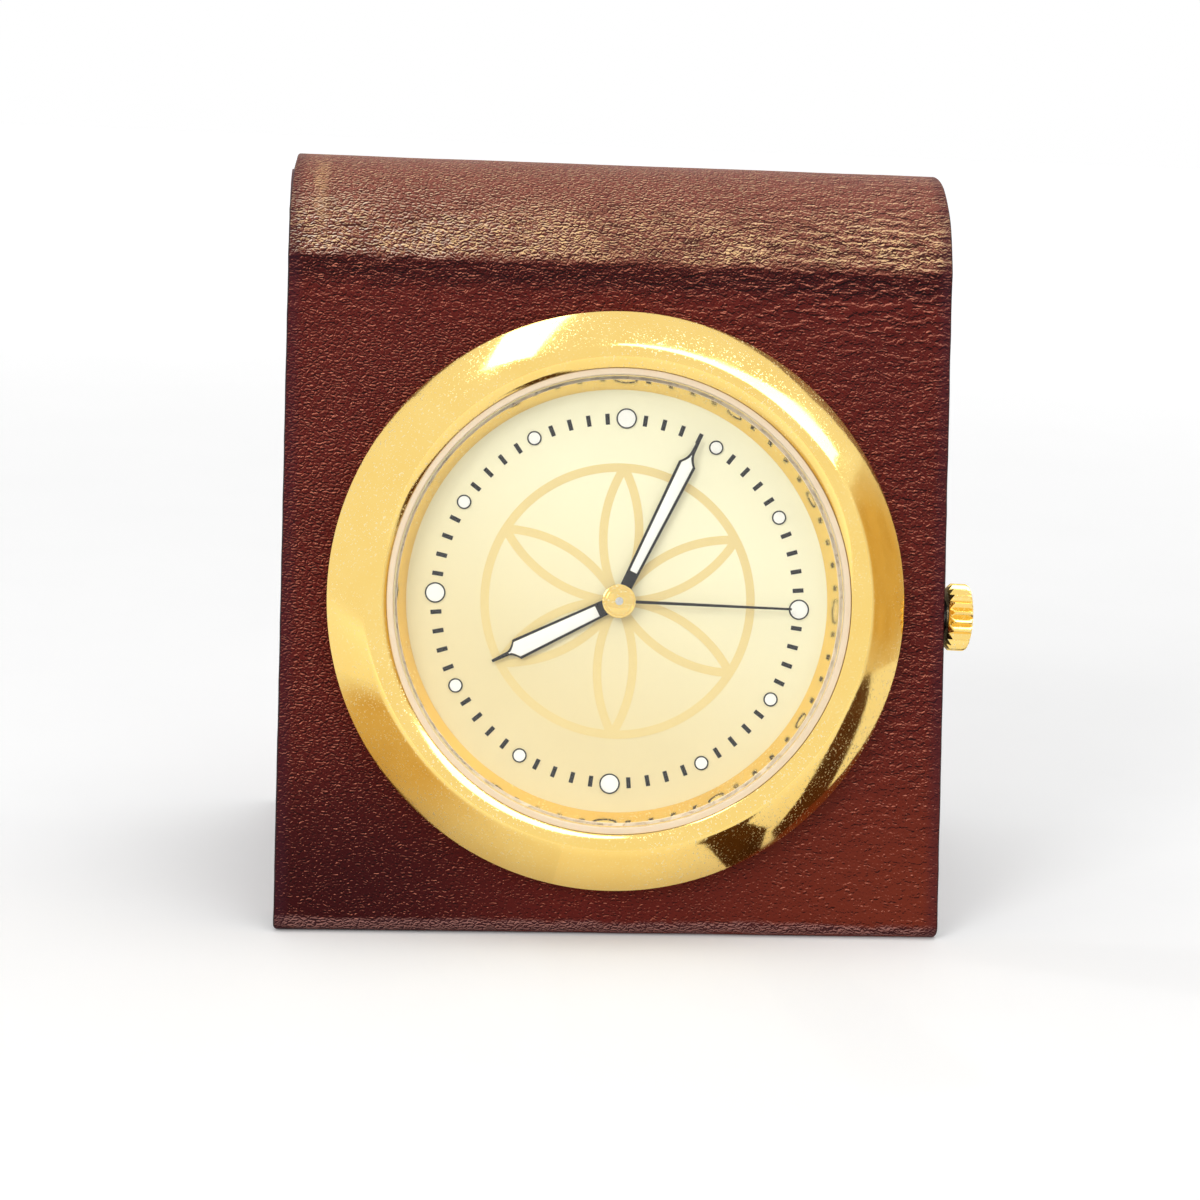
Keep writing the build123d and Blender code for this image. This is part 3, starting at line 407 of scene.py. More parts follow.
def mask(value, low, high):
    """A soft step from 0 to 1 as the value goes from low to high, or back if low is larger."""
    limits = {"Value": value, "From Min": low, "From Max": high}
    return node(value, "ShaderNodeMapRange", limits, interpolation_type="SMOOTHSTEP")


def zone(value, start, full, still, end):
    """1 between two places, with soft sides."""
    return mask(value, start, full) * mask(value, end, still)


def noise_at(place, scale, detail=3.0, rough=0.55):
    """Cloudy noise with features of about one over scale metres."""
    inputs = {"Vector": place, "Scale": scale, "Detail": detail, "Roughness": rough}
    return node(place, "ShaderNodeTexNoise", inputs)


def stretched(place, across, along, turn=0.0):
    """Coordinates squeezed or stretched, for grain that runs one way."""
    inputs = {"Vector": place, "Rotation": (0, 0, math.radians(turn)), "Scale": (across, along, 1)}
    return node(place, "ShaderNodeMapping", inputs)


def feed(shader, **values):
    """Link values to the shader's sockets, and set plain numbers and colours on them."""
    for name, value in values.items():
        socket = shader.inputs[name.replace("_", " ")]
        if isinstance(value, Value):
            value.tree.links.new(value.socket, socket)
        else:
            socket.default_value = value


def new_finish(name, **constants):
    """An empty material with its Principled shader and constant sockets."""
    material = bpy.data.materials.new(name)
    material.use_nodes = True
    shader = material.node_tree.nodes["Principled BSDF"]
    feed(shader, **constants)
    return material, shader


def bumped(shader, height, depth):
    """Relief of a given depth in metres."""
    inputs = {"Height": height, "Distance": depth, "Strength": 1.0}
    feed(shader, Normal=node(height, "ShaderNodeBump", inputs))


def own_place(material):
    """Object coordinates: metres in the frame, the same for every piece."""
    return node(material.node_tree, "ShaderNodeTexCoord", pick="Object")


def head_coordinates(material):
    """Millimetres on the clock head: right, up, and out of the dial."""
    return node(material.node_tree, "ShaderNodeMapping", {
        "Vector": own_place(material), "Location": head_place.translation,
        "Rotation": head_place.to_euler(), "Scale": (MM, MM, MM),
    }, vector_type="TEXTURE")


def grained(name, low, high, tint, grain, rough, depth, **constants):
    """A plain finish: one noise (scale, detail) mixes the tint, one gives roughness and relief."""
    material, shader = new_finish(name, **constants)
    place = own_place(material)
    grit = noise_at(place, *grain)
    feed(shader, Base_Color=mixed(noise_at(place, *tint), low, high), Roughness=grit * 0.2 + rough)
    bumped(shader, grit, depth)
    return material


print("finish helpers ready")

# %% [markdown]
# ## Leather
#
# The cover is fine-grained goat or calf, dyed burgundy, with flat pebbles about half a millimetre
# wide that run slightly across the block.  It is worn where hands touch it: its ridge shows tan specks,
# partly painted glints, and fine cracks, one streak runs down the roll's left end and the lower edge is
# rubbed.  The roll is painted lighter than the front, as painted light from above and painted sheen.
# The leg behind keeps the front's colour.  The pattern follows the skin,
# so the mesh carries its own map: across, and along from the ridge, with the roll above zero and
# the front below.  Wear is then just a place on that map, broken up by noise, and it bends with the
# sheet.

# %% Relief of the grain
def grain_height(skin, wrinkled):
    """Height of pebbles and of longer wrinkles, from 0 to about 1."""
    push = node(skin, "ShaderNodeTexNoise", {"Vector": skin, "Scale": 900.0}, "Color")
    warped = vectors("ADD", skin, scaled(push, 0.0006))
    slanted = stretched(warped, 0.72, 1.3, turn=10)
    furrows = node(skin, "ShaderNodeTexVoronoi", {
        "Vector": slanted, "Scale": 2300,
    }, feature="DISTANCE_TO_EDGE", voronoi_dimensions="2D")
    pebble = mask(furrows, 0.02, 0.22)
    fine = noise_at(stretched(slanted, 0.8, 1.1), 3900, 3, 0.6)
    ripple = noise_at(stretched(warped, 0.45, 1.2), 1100, 3, 0.6)
    wrinkle = mask(ripple, 0.46, 0.54) + mask(ripple, 0.30, 0.75)
    return (pebble * 0.32 + fine * 1.6) * (1.0 - wrinkled * 0.45) + wrinkle * 0.45 * wrinkled


print("grain helper ready")

# %% [markdown]
# The relief is read twice, the second time a tenth of a millimetre nearer to the ridge.  The
# difference tells which flank of a pebble a point is on: the upper flanks face the light from above.
# These are painted lighter, as painted highlights, and the lower flanks darker, as painted shade; on
# the ridge, the streak and the foot the light flanks also carry wear.  Places on the skin are in
# millimetres.

# %% Worn burgundy leather
def worn_leather():
    material, shader = new_finish("burgundy_leather", IOR=1.5, Specular_IOR_Level=0.08)
    skin = node(material.node_tree, "ShaderNodeUVMap", uv_map="skin")
    across, along = split(scaled(skin, 1 / MM))
    side = maths("ABSOLUTE", across)
    patch, sway = noise_at(skin, 130, 3), noise_at(skin, 420, 2)
    wander = noise_at(stretched(skin, 0.6, 1.0), 330, 2)
    along = along + (wander - 0.5) * 1.6

    # Where on the skin a point is
    roll_end = ROLL_RADIUS * math.radians(ROLL_START - ROLL_END)
    on_roll = zone(along, -0.3, 0.9, roll_end - 5, roll_end + 6)
    right_end = mask(across, -4, 30) * mask(along, 26, 10)
    left_end = mask(across, 0, -26)
    near_foot = mask(along, -40, -62)
    below_ridge = zone(along, -10.5, -3, -0.4, 0.6)
    # A band just under the ridge, painted darker as the shade of the crease
    crease_shade = zone(along, -3.4, -1.4, -0.3, 0.4)
    near_ridge = zone(along, -0.4, 0.6, 2.2, 10)
    worn_band = zone(along, 0, 1.1, 2.6, 7.5)
    foot_rub = zone(along, -66.8, -66.3, -65.6, -65)
    streak = zone(across, -31.1, -30.5, -29.9, -29) * zone(along, 1, 5, 12, 19) * mask(sway, 0.40, 0.58)
    painted_edge = mask(side, 33.0, 33.3)
    wrinkled = right_end * 0.6 + below_ridge * 0.5 + near_ridge * 0.35
    wrinkled = maths("MINIMUM", wrinkled, 1.0)
    smooth = near_foot * (patch * 0.5 + 0.55)

    # Which flank of the grain a point is on, the upper one facing the light from above, for painted
    # highlight and painted shade; and how worn that flank is
    height = grain_height(skin, wrinkled)
    nearer = vectors("ADD", skin, (-0.00004, 0.00011, 0))
    flank = height - grain_height(nearer, wrinkled)
    worn_more = near_ridge * mask(patch, 0.40, 0.60) * 0.13 + streak * 0.16 + foot_rub * 0.10
    spark = mask(noise_at(skin, 1700, 2), 0.40, 0.66)
    # light: painted highlights on the upper flanks, plus wear on the ridge, the streak and the foot, and a
    # stronger painted sheen on the roll
    light = mask(flank + worn_more + smooth * -0.19, 0.17, 0.38)
    light = light * (spark * 0.7 + on_roll * 0.22 + 0.3)
    # Painted shade: the lower flanks are painted darker; the valleys below are darker too
    flank_shade = flank + crease_shade * -0.12 + smooth * 0.14 + near_ridge * -0.07 + on_roll * -0.03
    low_place = mask(height, 0.84, 0.52) * (1.0 - wrinkled)
    dark = maths("MAXIMUM", mask(flank_shade, -0.10, -0.32), low_place * (0.8 - smooth))
    # Specks on the upper, lit flanks: tan wear on the ridge and the streak, and painted glints
    specks = mask(noise_at(stretched(skin, 0.6, 1.2), 2300, 3), 0.45, 0.58) * mask(flank, -0.02, 0.13)
    ridge_specks = worn_band * specks * (mask(patch, 0.38, 0.60) * 0.7 + 0.3)
    cracks = mask(noise_at(stretched(skin, 0.4, 1.5), 900, 3), 0.46, 0.36)
    cracks = (near_ridge + on_roll * 0.35) * cracks

    # Colours of front and roll, then painted shade on the lower flanks and darker valleys, cracks,
    # painted highlights and wear on the upper flanks, specks, a darker band along the sides and edge paint
    # over them
    front = coated(
        mixed(patch, paint(80, 18, 15), paint(101, 32, 25)),
        (near_foot * left_end, paint(56, 9, 11)),
        (near_foot * right_end * 0.7, paint(118, 46, 26)),
        (crease_shade * 0.7, paint(56, 10, 12)),
    )
    # The roll is painted lighter than the front, as painted light from above and painted sheen
    roll = mixed(patch, paint(134, 70, 58), paint(148, 84, 70))
    roll = mixed(near_ridge * 0.35, roll, paint(124, 74, 58))
    highlight_and_rub = mixed(on_roll, paint(206, 124, 100), paint(236, 194, 152))
    colour = coated(
        mixed(on_roll, front, roll),
        (dark * 0.9, mixed(on_roll, paint(14, 3, 6), paint(34, 11, 11))),
        (cracks * 0.55, paint(62, 26, 20)),
        # At the left end of the ridge the painted highlights turn whitish, as a painted glare
        (light, mixed(left_end * near_ridge * 0.8, highlight_and_rub, paint(238, 222, 204))),
        (ridge_specks * 0.92, paint(248, 206, 148)),
        (streak * (specks * 0.6 + 0.12), paint(206, 160, 112)),
        # The rubbed foot: wear, painted light on its upper flanks and dark on its lower ones, as painted
        # highlight and shade
        (foot_rub * 0.8, mixed(mask(flank, -0.05, 0.18), paint(54, 26, 32), paint(164, 116, 108))),
        (mask(side, 31.4, 32.8) * 0.45, paint(60, 24, 36)),
        (painted_edge, paint(24, 12, 20)),
    )
    feed(shader, Base_Color=colour, Roughness=sway * 0.2 + light * 0.15 + 0.36)
    bumped(shader, height * mask(painted_edge, 1.0, 0.2) * (1.0 - smooth * 0.5), 0.00009)
    return material


leather = worn_leather()
print("leather nodes", len(leather.node_tree.nodes))

# %% [markdown]
# ## Edge paint and lining
#
# The cut edges of leather and board are painted together with thick dark edge paint.  It dries with
# a slight orange peel and shows the fibres under it as faint lines.  The lining is a thin smooth
# split in the same dye: no pebbles, only a short nap, so fine noise in colour and roughness is
# enough.

# %% Edge paint and lining
def painted_edge_finish():
    material, shader = new_finish("edge_paint", IOR=1.5, Specular_IOR_Level=0.3)
    place = own_place(material)
    film = noise_at(place, 500, 2)
    colour = mixed(film, paint(24, 12, 20), paint(42, 20, 30))
    feed(shader, Base_Color=colour, Roughness=film * 0.3 + 0.28)
    bumped(shader, noise_at(place, 3200, 4) + film, 0.00003)
    return material


def smooth_lining():
    material, shader = new_finish(
        "smooth_lining", IOR=1.45, Specular_IOR_Level=0.2, Sheen_Weight=0.35, Sheen_Roughness=0.4,
    )
    place = own_place(material)
    nap = noise_at(place, 5200, 4, 0.7)
    colour = mixed(noise_at(place, 140, 3), paint(88, 34, 38), paint(112, 50, 50))
    colour = mixed(nap * 0.5, colour, paint(70, 24, 30))
    feed(shader, Base_Color=colour, Roughness=nap * 0.25 + 0.55)
    bumped(shader, nap, 0.00004)
    return material


edge_paint = painted_edge_finish()
lining_finish = smooth_lining()
print("edge paint and lining ready")

# %% [markdown]
# ## The skin over front, roll and leg
#
# The sheet is one piece of leather on the real clock: turned under the block's foot, up the front,
# over the hollow roll, down the leg and under its foot.  It could be a plane with Solidify, but the
# cut edges are rounded on the show side only and the foot turns tightly.  So a closed cross section
# with rounded show edges is carried along the side profile, station by station, and the map of
# across and along is written on the result.  Small swells keep it from looking machined: a soft
# ridge where the board ends, a fuller roll, and edges that wander by a tenth of a millimetre.

# %% Side profile of the sheet
FOOT_ROUND = 1.3
FRONT_TURN_IN, LEG_TURN_IN = 5.0, 1.2


def skin_profile():
    """Stations of (place, outward direction, length along from the ridge)."""
    front_out = Vector((-math.cos(LEAN), math.sin(LEAN)))
    leg_out = Vector((math.cos(SPLAY), math.sin(SPLAY)))
    down = Vector((0, -1))
    points, normals = [], []

    def run(start, end, normal, steps):
        for step in range(steps):
            points.append(start.lerp(end, step / steps))
            normals.append(normal)

    def bend(centre, radius, start, end, steps):
        for step in range(steps):
            angle = math.radians(start + (end - start) * step / steps)
            normals.append(Vector((math.cos(angle), math.sin(angle))))
            points.append(centre + normals[-1] * radius)

    front_corner = block_at_height(FOOT_ROUND, FOOT_ROUND)
    run(block_at_height(0, LEATHER + FRONT_TURN_IN), front_corner + down * FOOT_ROUND, down, 4)
    bend(front_corner, FOOT_ROUND, 270, ROLL_START, 8)
    run(front_corner + front_out * FOOT_ROUND, on_block(FRONT_HEIGHT, 0), front_out, 90)
    at_ridge = len(points)
    bend(roll_centre, ROLL_RADIUS, ROLL_START, ROLL_END, 56)
    leg_corner = leg_at_height(FOOT_ROUND, FOOT_ROUND)
    run(on_leg(0, 0), leg_corner + leg_out * FOOT_ROUND, leg_out, 70)
    bend(leg_corner, FOOT_ROUND, ROLL_END, -90, 8)
    leg_end = leg_at_height(0, LEATHER + LEG_TURN_IN)
    run(leg_corner + down * FOOT_ROUND, leg_end, down, 3)
    points.append(leg_end)
    normals.append(down)
    reach = [0.0]
    for first, second in zip(points, points[1:]):
        reach.append(reach[-1] + (second - first).length)
    return list(zip(points, normals, [length - reach[at_ridge] for length in reach]))


profile = skin_profile()
print("stations", len(profile), "from", round(profile[0][2], 1), "to", round(profile[-1][2], 1), "mm")

# %% Cross section and the swept skin
SHOW_ROUND, COLUMNS, BACK_COLUMNS = 0.4, 72, 12
SEAM_SWELL, ROLL_SWELL, RIPPLE = 0.16, 0.35, 0.05
ROLL_LENGTH = 31
EDGE_BAND, EDGE_WANDER, WORN_DENT = 2.0, 0.08, 0.45


def cross_section():
    """Closed loop of (across, depth) with rounded show edges, and the length round it from x = 0."""
    left = [(-HALF_WIDTH, LEATHER), (-HALF_WIDTH, (LEATHER + SHOW_ROUND) / 2)]
    for step in range(7):
        angle = math.radians(15 * step)
        inset, depth = SHOW_ROUND * (1 - math.cos(angle)), SHOW_ROUND * (1 - math.sin(angle))
        left.append((-HALF_WIDTH + inset, depth))
    flat = HALF_WIDTH - SHOW_ROUND
    loop = left + [(-flat + 2 * flat * step / COLUMNS, 0.0) for step in range(1, COLUMNS)]
    loop += [(-x, depth) for x, depth in reversed(left)]
    loop += [(HALF_WIDTH - 2 * HALF_WIDTH * step / BACK_COLUMNS, LEATHER) for step in range(1, BACK_COLUMNS)]
    reach = [0.0]
    for first, second in zip(loop, loop[1:] + loop[:1]):
        reach.append(reach[-1] + math.dist(first, second))
    middle = len(left) + COLUMNS // 2 - 1
    offset = reach[middle] - loop[middle][0]
    return loop, [length - offset for length in reach]


def swell(x, along):
    """How far the show side stands proud, in millimetres."""
    seam = SEAM_SWELL * math.exp(-((along - 0.4) / 1.1) ** 2)
    fuller = ROLL_SWELL * max(0.0, math.sin(math.pi * min(max(along / ROLL_LENGTH, 0), 1))) ** 2
    ripple = RIPPLE * noise.noise(Vector((x / 9, along / 7, 0)))
    return seam + fuller + ripple


def narrowed(x, along):
    """The place across, drawn in a little where the sheet's edge wanders."""
    band = abs(x) - HALF_WIDTH + EDGE_BAND
    if band <= 0:
        return x
    narrow = EDGE_WANDER * noise.noise(Vector((along / 6, 5 if x > 0 else 9, 1)))
    if x < 0:
        narrow += WORN_DENT * math.exp(-((along - 15) / 6) ** 2)
    return x - math.copysign(narrow * band / EDGE_BAND, x)


def swept_mesh(name, rows):
    """A closed tube through rows of points in millimetres, with flat ends."""
    width, faces = len(rows[0]), []
    for start in range(0, (len(rows) - 1) * width, width):
        for column in range(width):
            near, after = start + column, start + (column + 1) % width
            faces.append((near, after, after + width, near + width))
    for start in (0, (len(rows) - 1) * width):
        faces.append(tuple(range(start, start + width)))
    return plain_mesh(name, [Vector(point) * MM for row in rows for point in row], faces)


def swept_skin():
    loop, reach = cross_section()
    rows = []
    for point, normal, along in profile:
        row = []
        for x, depth in loop:
            place = point - normal * (depth - (1 - depth / LEATHER) * swell(x, along))
            row.append((narrowed(x, along) + MIDDLE_X, *place))
        rows.append(row)
    mesh = swept_mesh("leather_cover", rows)
    layer = mesh.uv_layers.new(name="skin")
    for polygon in mesh.polygons:
        columns = [corner % len(loop) for corner in polygon.vertices]
        closes = len(columns) == 4 and {0, len(loop) - 1} <= set(columns)
        for loop_index, corner, column in zip(polygon.loop_indices, polygon.vertices, columns):
            across = reach[-1] if closes and column == 0 else reach[column]
            layer.data[loop_index].uv = (across * MM, profile[corner // len(loop)][2] * MM)
    return mesh


cover_mesh = swept_skin()
print("cover", len(cover_mesh.vertices), "points")

# %% [markdown]
# ## The hole for the head
#
# The head's case goes right through the block, so the leather is punched with a round hole that the
# bezel covers.  A boolean on the finished sheet does what the leather punch does, and its result is
# made a plain mesh at once.

# %% Punch the leather
HOLE_RADIUS = 26.68


def punched(mesh, low, high):
    """The mesh with a round hole on the head's axis."""
    outline = [(0, low), (HOLE_RADIUS, low), (HOLE_RADIUS, high), (0, high)]
    cutter_mesh = turned_mesh("cutter", outline, 160, ring=False)
    cutter_mesh.transform(head_place)
    cutter = placed("cutter", faced_outwards(cutter_mesh))
    sheet = placed("sheet", faced_outwards(mesh))
    cut = sheet.modifiers.new("hole", "BOOLEAN")
    cut.operation, cut.solver, cut.object = "DIFFERENCE", "EXACT", cutter
    made = result_of(sheet)
    bpy.data.objects.remove(cutter)
    return made


cover = finish_piece(
    "leather_cover", punched(cover_mesh, -6, 6), leather, None,
    ("cover_front", "cover_spine", "cover_rear"), sharp=50, place=None,
)
front_ridge, rear_ridge = in_frame(on_block(FRONT_HEIGHT, 0)), in_frame(on_leg(0, 0))
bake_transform(cover)
print("cover bends from", in_mm(front_ridge), "to", in_mm(rear_ridge))

# %% [markdown]
# ## The lining
#
# Seen from the side, the lining goes up the block's back, folds over its top edge, runs round
# inside the roll and turns over the leg's stiffener before it goes down the leg.  The same sweep
# makes it, from corners on the show side, the matching corners on the glued side, and the number of
# stations to the next pair.

# %% Lining profile and piece
BLOCK_FOLD, LEG_FOLD = 0.5, 0.3


def lining_mesh():
    deep, top, inside = BLOCK_DEPTH - LINING, FRONT_HEIGHT - LINING, LEATHER + LINING
    leg_deep = LEG_DEPTH - LINING
    pairs = []

    def run(corners):
        for (show, glued, steps), (next_show, next_glued, _) in zip(corners, corners[1:]):
            for step in range(steps):
                share = step / steps
                pairs.append((show.lerp(next_show, share), glued.lerp(next_glued, share)))

    run((
        (block_at_height(0, BLOCK_DEPTH), block_at_height(0, deep), 50),
        (on_block(FRONT_HEIGHT - BLOCK_FOLD, BLOCK_DEPTH), on_block(top - 0.4, deep), 3),
        (on_block(FRONT_HEIGHT, BLOCK_DEPTH - BLOCK_FOLD), on_block(top, deep - 0.2), 8),
        (on_block(FRONT_HEIGHT, inside), on_block(top, LEATHER), 0),
    ))
    for step in range(57):
        angle = math.radians(ROLL_START - (ROLL_START - ROLL_END) * step / 56)
        ray = Vector((math.cos(angle), math.sin(angle)))
        pairs.append(tuple(roll_centre + ray * (ROLL_RADIUS - depth) for depth in (inside, LEATHER)))
    foot = (leg_at_height(0, LEG_DEPTH), leg_at_height(0, leg_deep))
    run((
        (on_leg(0, inside), on_leg(LINING, LEATHER), 4),
        (on_leg(0, LEG_DEPTH - LEG_FOLD), on_leg(LINING, leg_deep - 0.1), 3),
        (on_leg(LEG_FOLD, LEG_DEPTH), on_leg(LINING + 0.1, leg_deep), 60),
        (*foot, 0),
    ))
    pairs.append(foot)
    xs = [-HALF_WIDTH + 2 * HALF_WIDTH * step / 24 for step in range(25)]
    return swept_mesh("lining_sheet", [
        [(x + MIDDLE_X, *show) for x in xs] + [(x + MIDDLE_X, *glued) for x in reversed(xs)]
        for show, glued in pairs
    ])


lining = finish_piece(
    "lining_sheet", punched(lining_mesh(), -12, 0), lining_finish, None,
    ("front_lining", "spine_lining", "leg_lining"), sharp=50, place=None,
)
lining_start, lining_end = in_frame(on_block(FRONT_HEIGHT, BLOCK_DEPTH)), in_frame(on_leg(0, LEG_DEPTH))
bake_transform(lining)
for board in ("front_board", "leg_board"):
    dress(board, edge_paint)
print("lining bends from", in_mm(lining_start), "to", in_mm(lining_end))

# %% [markdown]
# ## Gold
#
# The bezel, crown and hub are gold-plated and polished.  Polished metal has almost no colour of its
# own apart from the tint of its reflections, so the finish is a metallic tint with low roughness.
# Real plating of this age is hazy in places and carries specks of dust, which break up the
# reflections; both come from noise in the roughness and a relief of about a micrometre.

# %% Polished gold and glass
def polished_gold():
    material, shader = new_finish("polished_gold", Metallic=1.0)
    place = own_place(material)
    haze = noise_at(place, 210, 3)
    dusty = mask(noise_at(place, 60, 2), 0.35, 0.65)
    dust = mask(noise_at(place, 4300, 2, 0.6), 0.59, 0.67) * (dusty * 0.7 + 0.3)
    colour = mixed(haze, paint(248, 208, 112), paint(253, 222, 138))
    colour = mixed(dust * 0.6, colour, paint(255, 247, 206))
    feed(shader, Base_Color=colour, Roughness=mask(haze, 0.35, 0.75) * 0.08 + 0.06 + dust * 0.3)
    bumped(shader, noise_at(place, 1700, 2) + dust, 0.000003)
    return material


def to_surface(material, kind, inputs):
    """End the material in one more shader node."""
    feed(material.node_tree.nodes["Material Output"], Surface=node(material.node_tree, kind, inputs))


def clear_glass():
    material, shader = new_finish(
        "crystal_glass", Roughness=0.01, IOR=1.5, Specular_IOR_Level=0.12, Transmission_Weight=1.0,
    )
    smear = noise_at(own_place(material), 90, 3)
    feed(shader, Base_Color=mixed(smear, (0.99, 0.99, 0.98, 1), (0.96, 0.97, 0.96, 1)))
    clear = node(smear, "ShaderNodeBsdfTransparent", {"Color": (0.97, 0.97, 0.96, 1)})
    shadow = node(smear, "ShaderNodeLightPath", pick="Is Shadow Ray")
    to_surface(material, "ShaderNodeMixShader", {0: shadow, 1: Value(shader.outputs[0]), 2: clear})
    return material


gold = polished_gold()
glass = clear_glass()
print("gold and glass ready")

# %% [markdown]
# ## Bezel
#
# The bezel is one turned ring: a round crest close to the crystal, a long and nearly straight flank
# that falls outwards, and a finely rounded edge where it meets the skirt.  Its reflections show every
# flat spot, so it is turned afresh from true arcs instead of keeping the CAD facets.  Each arc
# leaves one point in a known direction and ends at the next point, which fixes its centre; the
# flank starts in the direction in which the crest's arc ends, so no edge shows between them.

# %% Turn the bezel
def leaving_arc(start, way, end, steps):
    """Arc from start in the direction way that ends at end; also gives the direction there."""
    start, way, end = Vector(start), Vector(way).normalized(), Vector(end)
    chord = end - start
    inward = Vector((way[1], -way[0]))
    if inward.dot(chord) < 0:
        inward = -inward
    radius = chord.length_squared / (2 * inward.dot(chord))
    centre = start + inward * radius
    first, last = start - centre, end - centre
    sweep = math.atan2(first[0] * last[1] - first[1] * last[0], first.dot(last))
    row = [centre + Matrix.Rotation(sweep * step / steps, 2) @ first for step in range(steps + 1)]
    return [tuple(point) for point in row], Matrix.Rotation(sweep, 2) @ way


CREST, FLANK_TOP, FLANK_FOOT = (24.28, 5.15), (25.18, 4.87), (28.63, 1.84)
BORE, INNER_EDGE, INNER_ROLL_END = 22.88, 4.58, (22.96, 4.66)
EDGE_ROUND = 0.18
inner_roll, _ = leaving_arc(CREST, (-1, 0), INNER_ROLL_END, 14)
crest_row, flank_way = leaving_arc(CREST, (1, 0), FLANK_TOP, 14)
flank_row, foot_way = leaving_arc(FLANK_TOP, flank_way, FLANK_FOOT, 24)
foot_slope = math.atan2(-foot_way[1], foot_way[0])
inset = (math.sin(foot_slope), math.cos(foot_slope))
edge_middle = tuple(place - EDGE_ROUND * part for place, part in zip(FLANK_FOOT, inset))
outline = [(BORE, INNER_EDGE)] + inner_roll[::-1] + crest_row[1:] + flank_row[1:]
outline += arc_points(edge_middle, EDGE_ROUND, 90 - math.degrees(foot_slope), 0, 7)[1:]
outline += [(28.68, 0.10), (28.62, 0.02), (26.40, 0.02), (26.40, 0.75)]
outline += [(BORE, level) for level in (0.75, 1.6, 3.0)]
turned_piece("turned_bezel", outline, gold, "front_block", "bezel", 256, sharp=40)
print("the flank ends at a slope of", round(math.degrees(foot_slope), 1), "degrees")

# %% [markdown]
# ## Crystal, its gasket and the slanted ring
#
# Inside the bezel a pale pinkish gasket holds a flat mineral glass, and under it a slanted gold ring
# leads down to the dial.  All three are turned.  The glass has a small polished chamfer, which is
# the thin line that shows inside the pale ring.  A glass with real refraction keeps the dial sharp,
# and it lets shadow rays pass, so that the dial is lit as under a real thin crystal.

# %% Gasket finish and the three rings
def pale_rubber():
    material, shader = new_finish(
        "pale_gasket", Roughness=0.42, IOR=1.45, Subsurface_Weight=0.15,
        Subsurface_Radius=(0.0006, 0.0004, 0.0003),
    )
    cloud = noise_at(own_place(material), 700, 3)
    feed(shader, Base_Color=mixed(cloud, paint(236, 212, 178), paint(244, 226, 198)))
    bumped(shader, cloud, 0.00001)
    return material


turned_piece("crystal_seal", [
    (21.84, 2.72), (22.82, 2.72), (22.86, 2.76), (22.86, 4.34), (22.80, 4.42), (22.30, 4.42),
    (22.22, 4.36), (22.22, 2.92), (21.84, 2.92), (21.80, 2.88), (21.80, 2.76),
], pale_rubber(), "front_block", "crystal_gasket", 224)
turned_piece("flat_crystal", [
    (0, 2.92), (22.16, 2.92), (22.20, 2.96), (22.20, 4.24), (22.02, 4.42), (0, 4.42),
], glass, "front_block", "crystal", 224, sharp=20, ring=False)
turned_piece("slanted_ring", [
    (20.90, 1.24), (20.94, 1.22), (22.86, 1.22), (22.86, 2.72), (21.84, 2.72), (21.80, 2.69),
], gold, "front_block", "rehaut_ring", 224, sharp=20)

# %% [markdown]
# ## Dial
#
# The dial is a satin champagne plate.  Its CAD plate is right as it is, so it only gets a finish: a
# fine metallic grain, a soft warm cloud and a painted shade that turns it darker and warmer towards
# the lower left.  The look of a satin dial is all in the roughness, so the metal share stays low.

# %% Champagne dial finish and inks
def champagne():
    material, shader = new_finish("champagne_dial", Metallic=0.15, IOR=1.45, Specular_IOR_Level=0.3)
    place = head_coordinates(material)
    across, upwards = split(place)
    # Painted shade: darker and warmer towards the lower left, lighter at the top right
    fall = mask(across * 0.45 + upwards, 15.0, -17.0)
    grain = noise_at(place, 9.0, 2)
    colour = coated(
        mixed(fall, paint(251, 247, 212), paint(234, 216, 164)),
        (noise_at(place, 0.07, 2) * 0.25, paint(240, 228, 190)),
        (grain * 0.12, paint(222, 200, 150)),
    )
    feed(shader, Base_Color=colour, Roughness=grain * 0.12 + 0.40)
    bumped(shader, grain, 0.000004)
    return material


def printed_ink(name, low, high, rough):
    """Pad-printed ink: a thin film with tiny pinholes."""
    film = (4200, 2)
    return grained(name, low, high, film, film, rough, 0.000005, IOR=1.45, Specular_IOR_Level=0.03)


tan_ink = printed_ink("tan_ink", paint(230, 206, 140), paint(238, 216, 154), 0.45)
black_ink = printed_ink("black_ink", paint(12, 11, 10), paint(26, 24, 22), 0.35)
dress("dial", champagne())
print("dial finished")

# %% [markdown]
# ## Geometry Nodes for what repeats
#
# The minute strokes, the fine rings round the luminous dots and the printed rosette all repeat
# round the dial's centre.  Each is a small tree with its sizes as named inputs.  A helper starts a
# tree with those inputs, and a second one runs it on an empty mesh, takes the result as a plain
# mesh and throws the modifier away, so that nothing live reaches the export.

# %% Helpers for the trees
ROSETTE_LEVEL, STROKE_LEVEL, RING_LEVEL = 1.211, 1.213, 1.256  # middles of the prints, over the dial


def start_tree(name, **sizes):
    """A tree with named size inputs, and those inputs as values."""
    tree = bpy.data.node_groups.new(name, "GeometryNodeTree")
    tree.interface.new_socket("Geometry", in_out="INPUT", socket_type="NodeSocketGeometry")
    kinds = {bool: "Bool", int: "Int", float: "Float"}
    for label, size in sizes.items():
        kind = "NodeSocket" + kinds[type(size)]
        tree.interface.new_socket(label, in_out="INPUT", socket_type=kind).default_value = size
    tree.interface.new_socket("Geometry", in_out="OUTPUT", socket_type="NodeSocketGeometry")
    inputs = add(tree, "NodeGroupInput").outputs
    return tree, {label: Value(inputs[label]) for label in sizes}


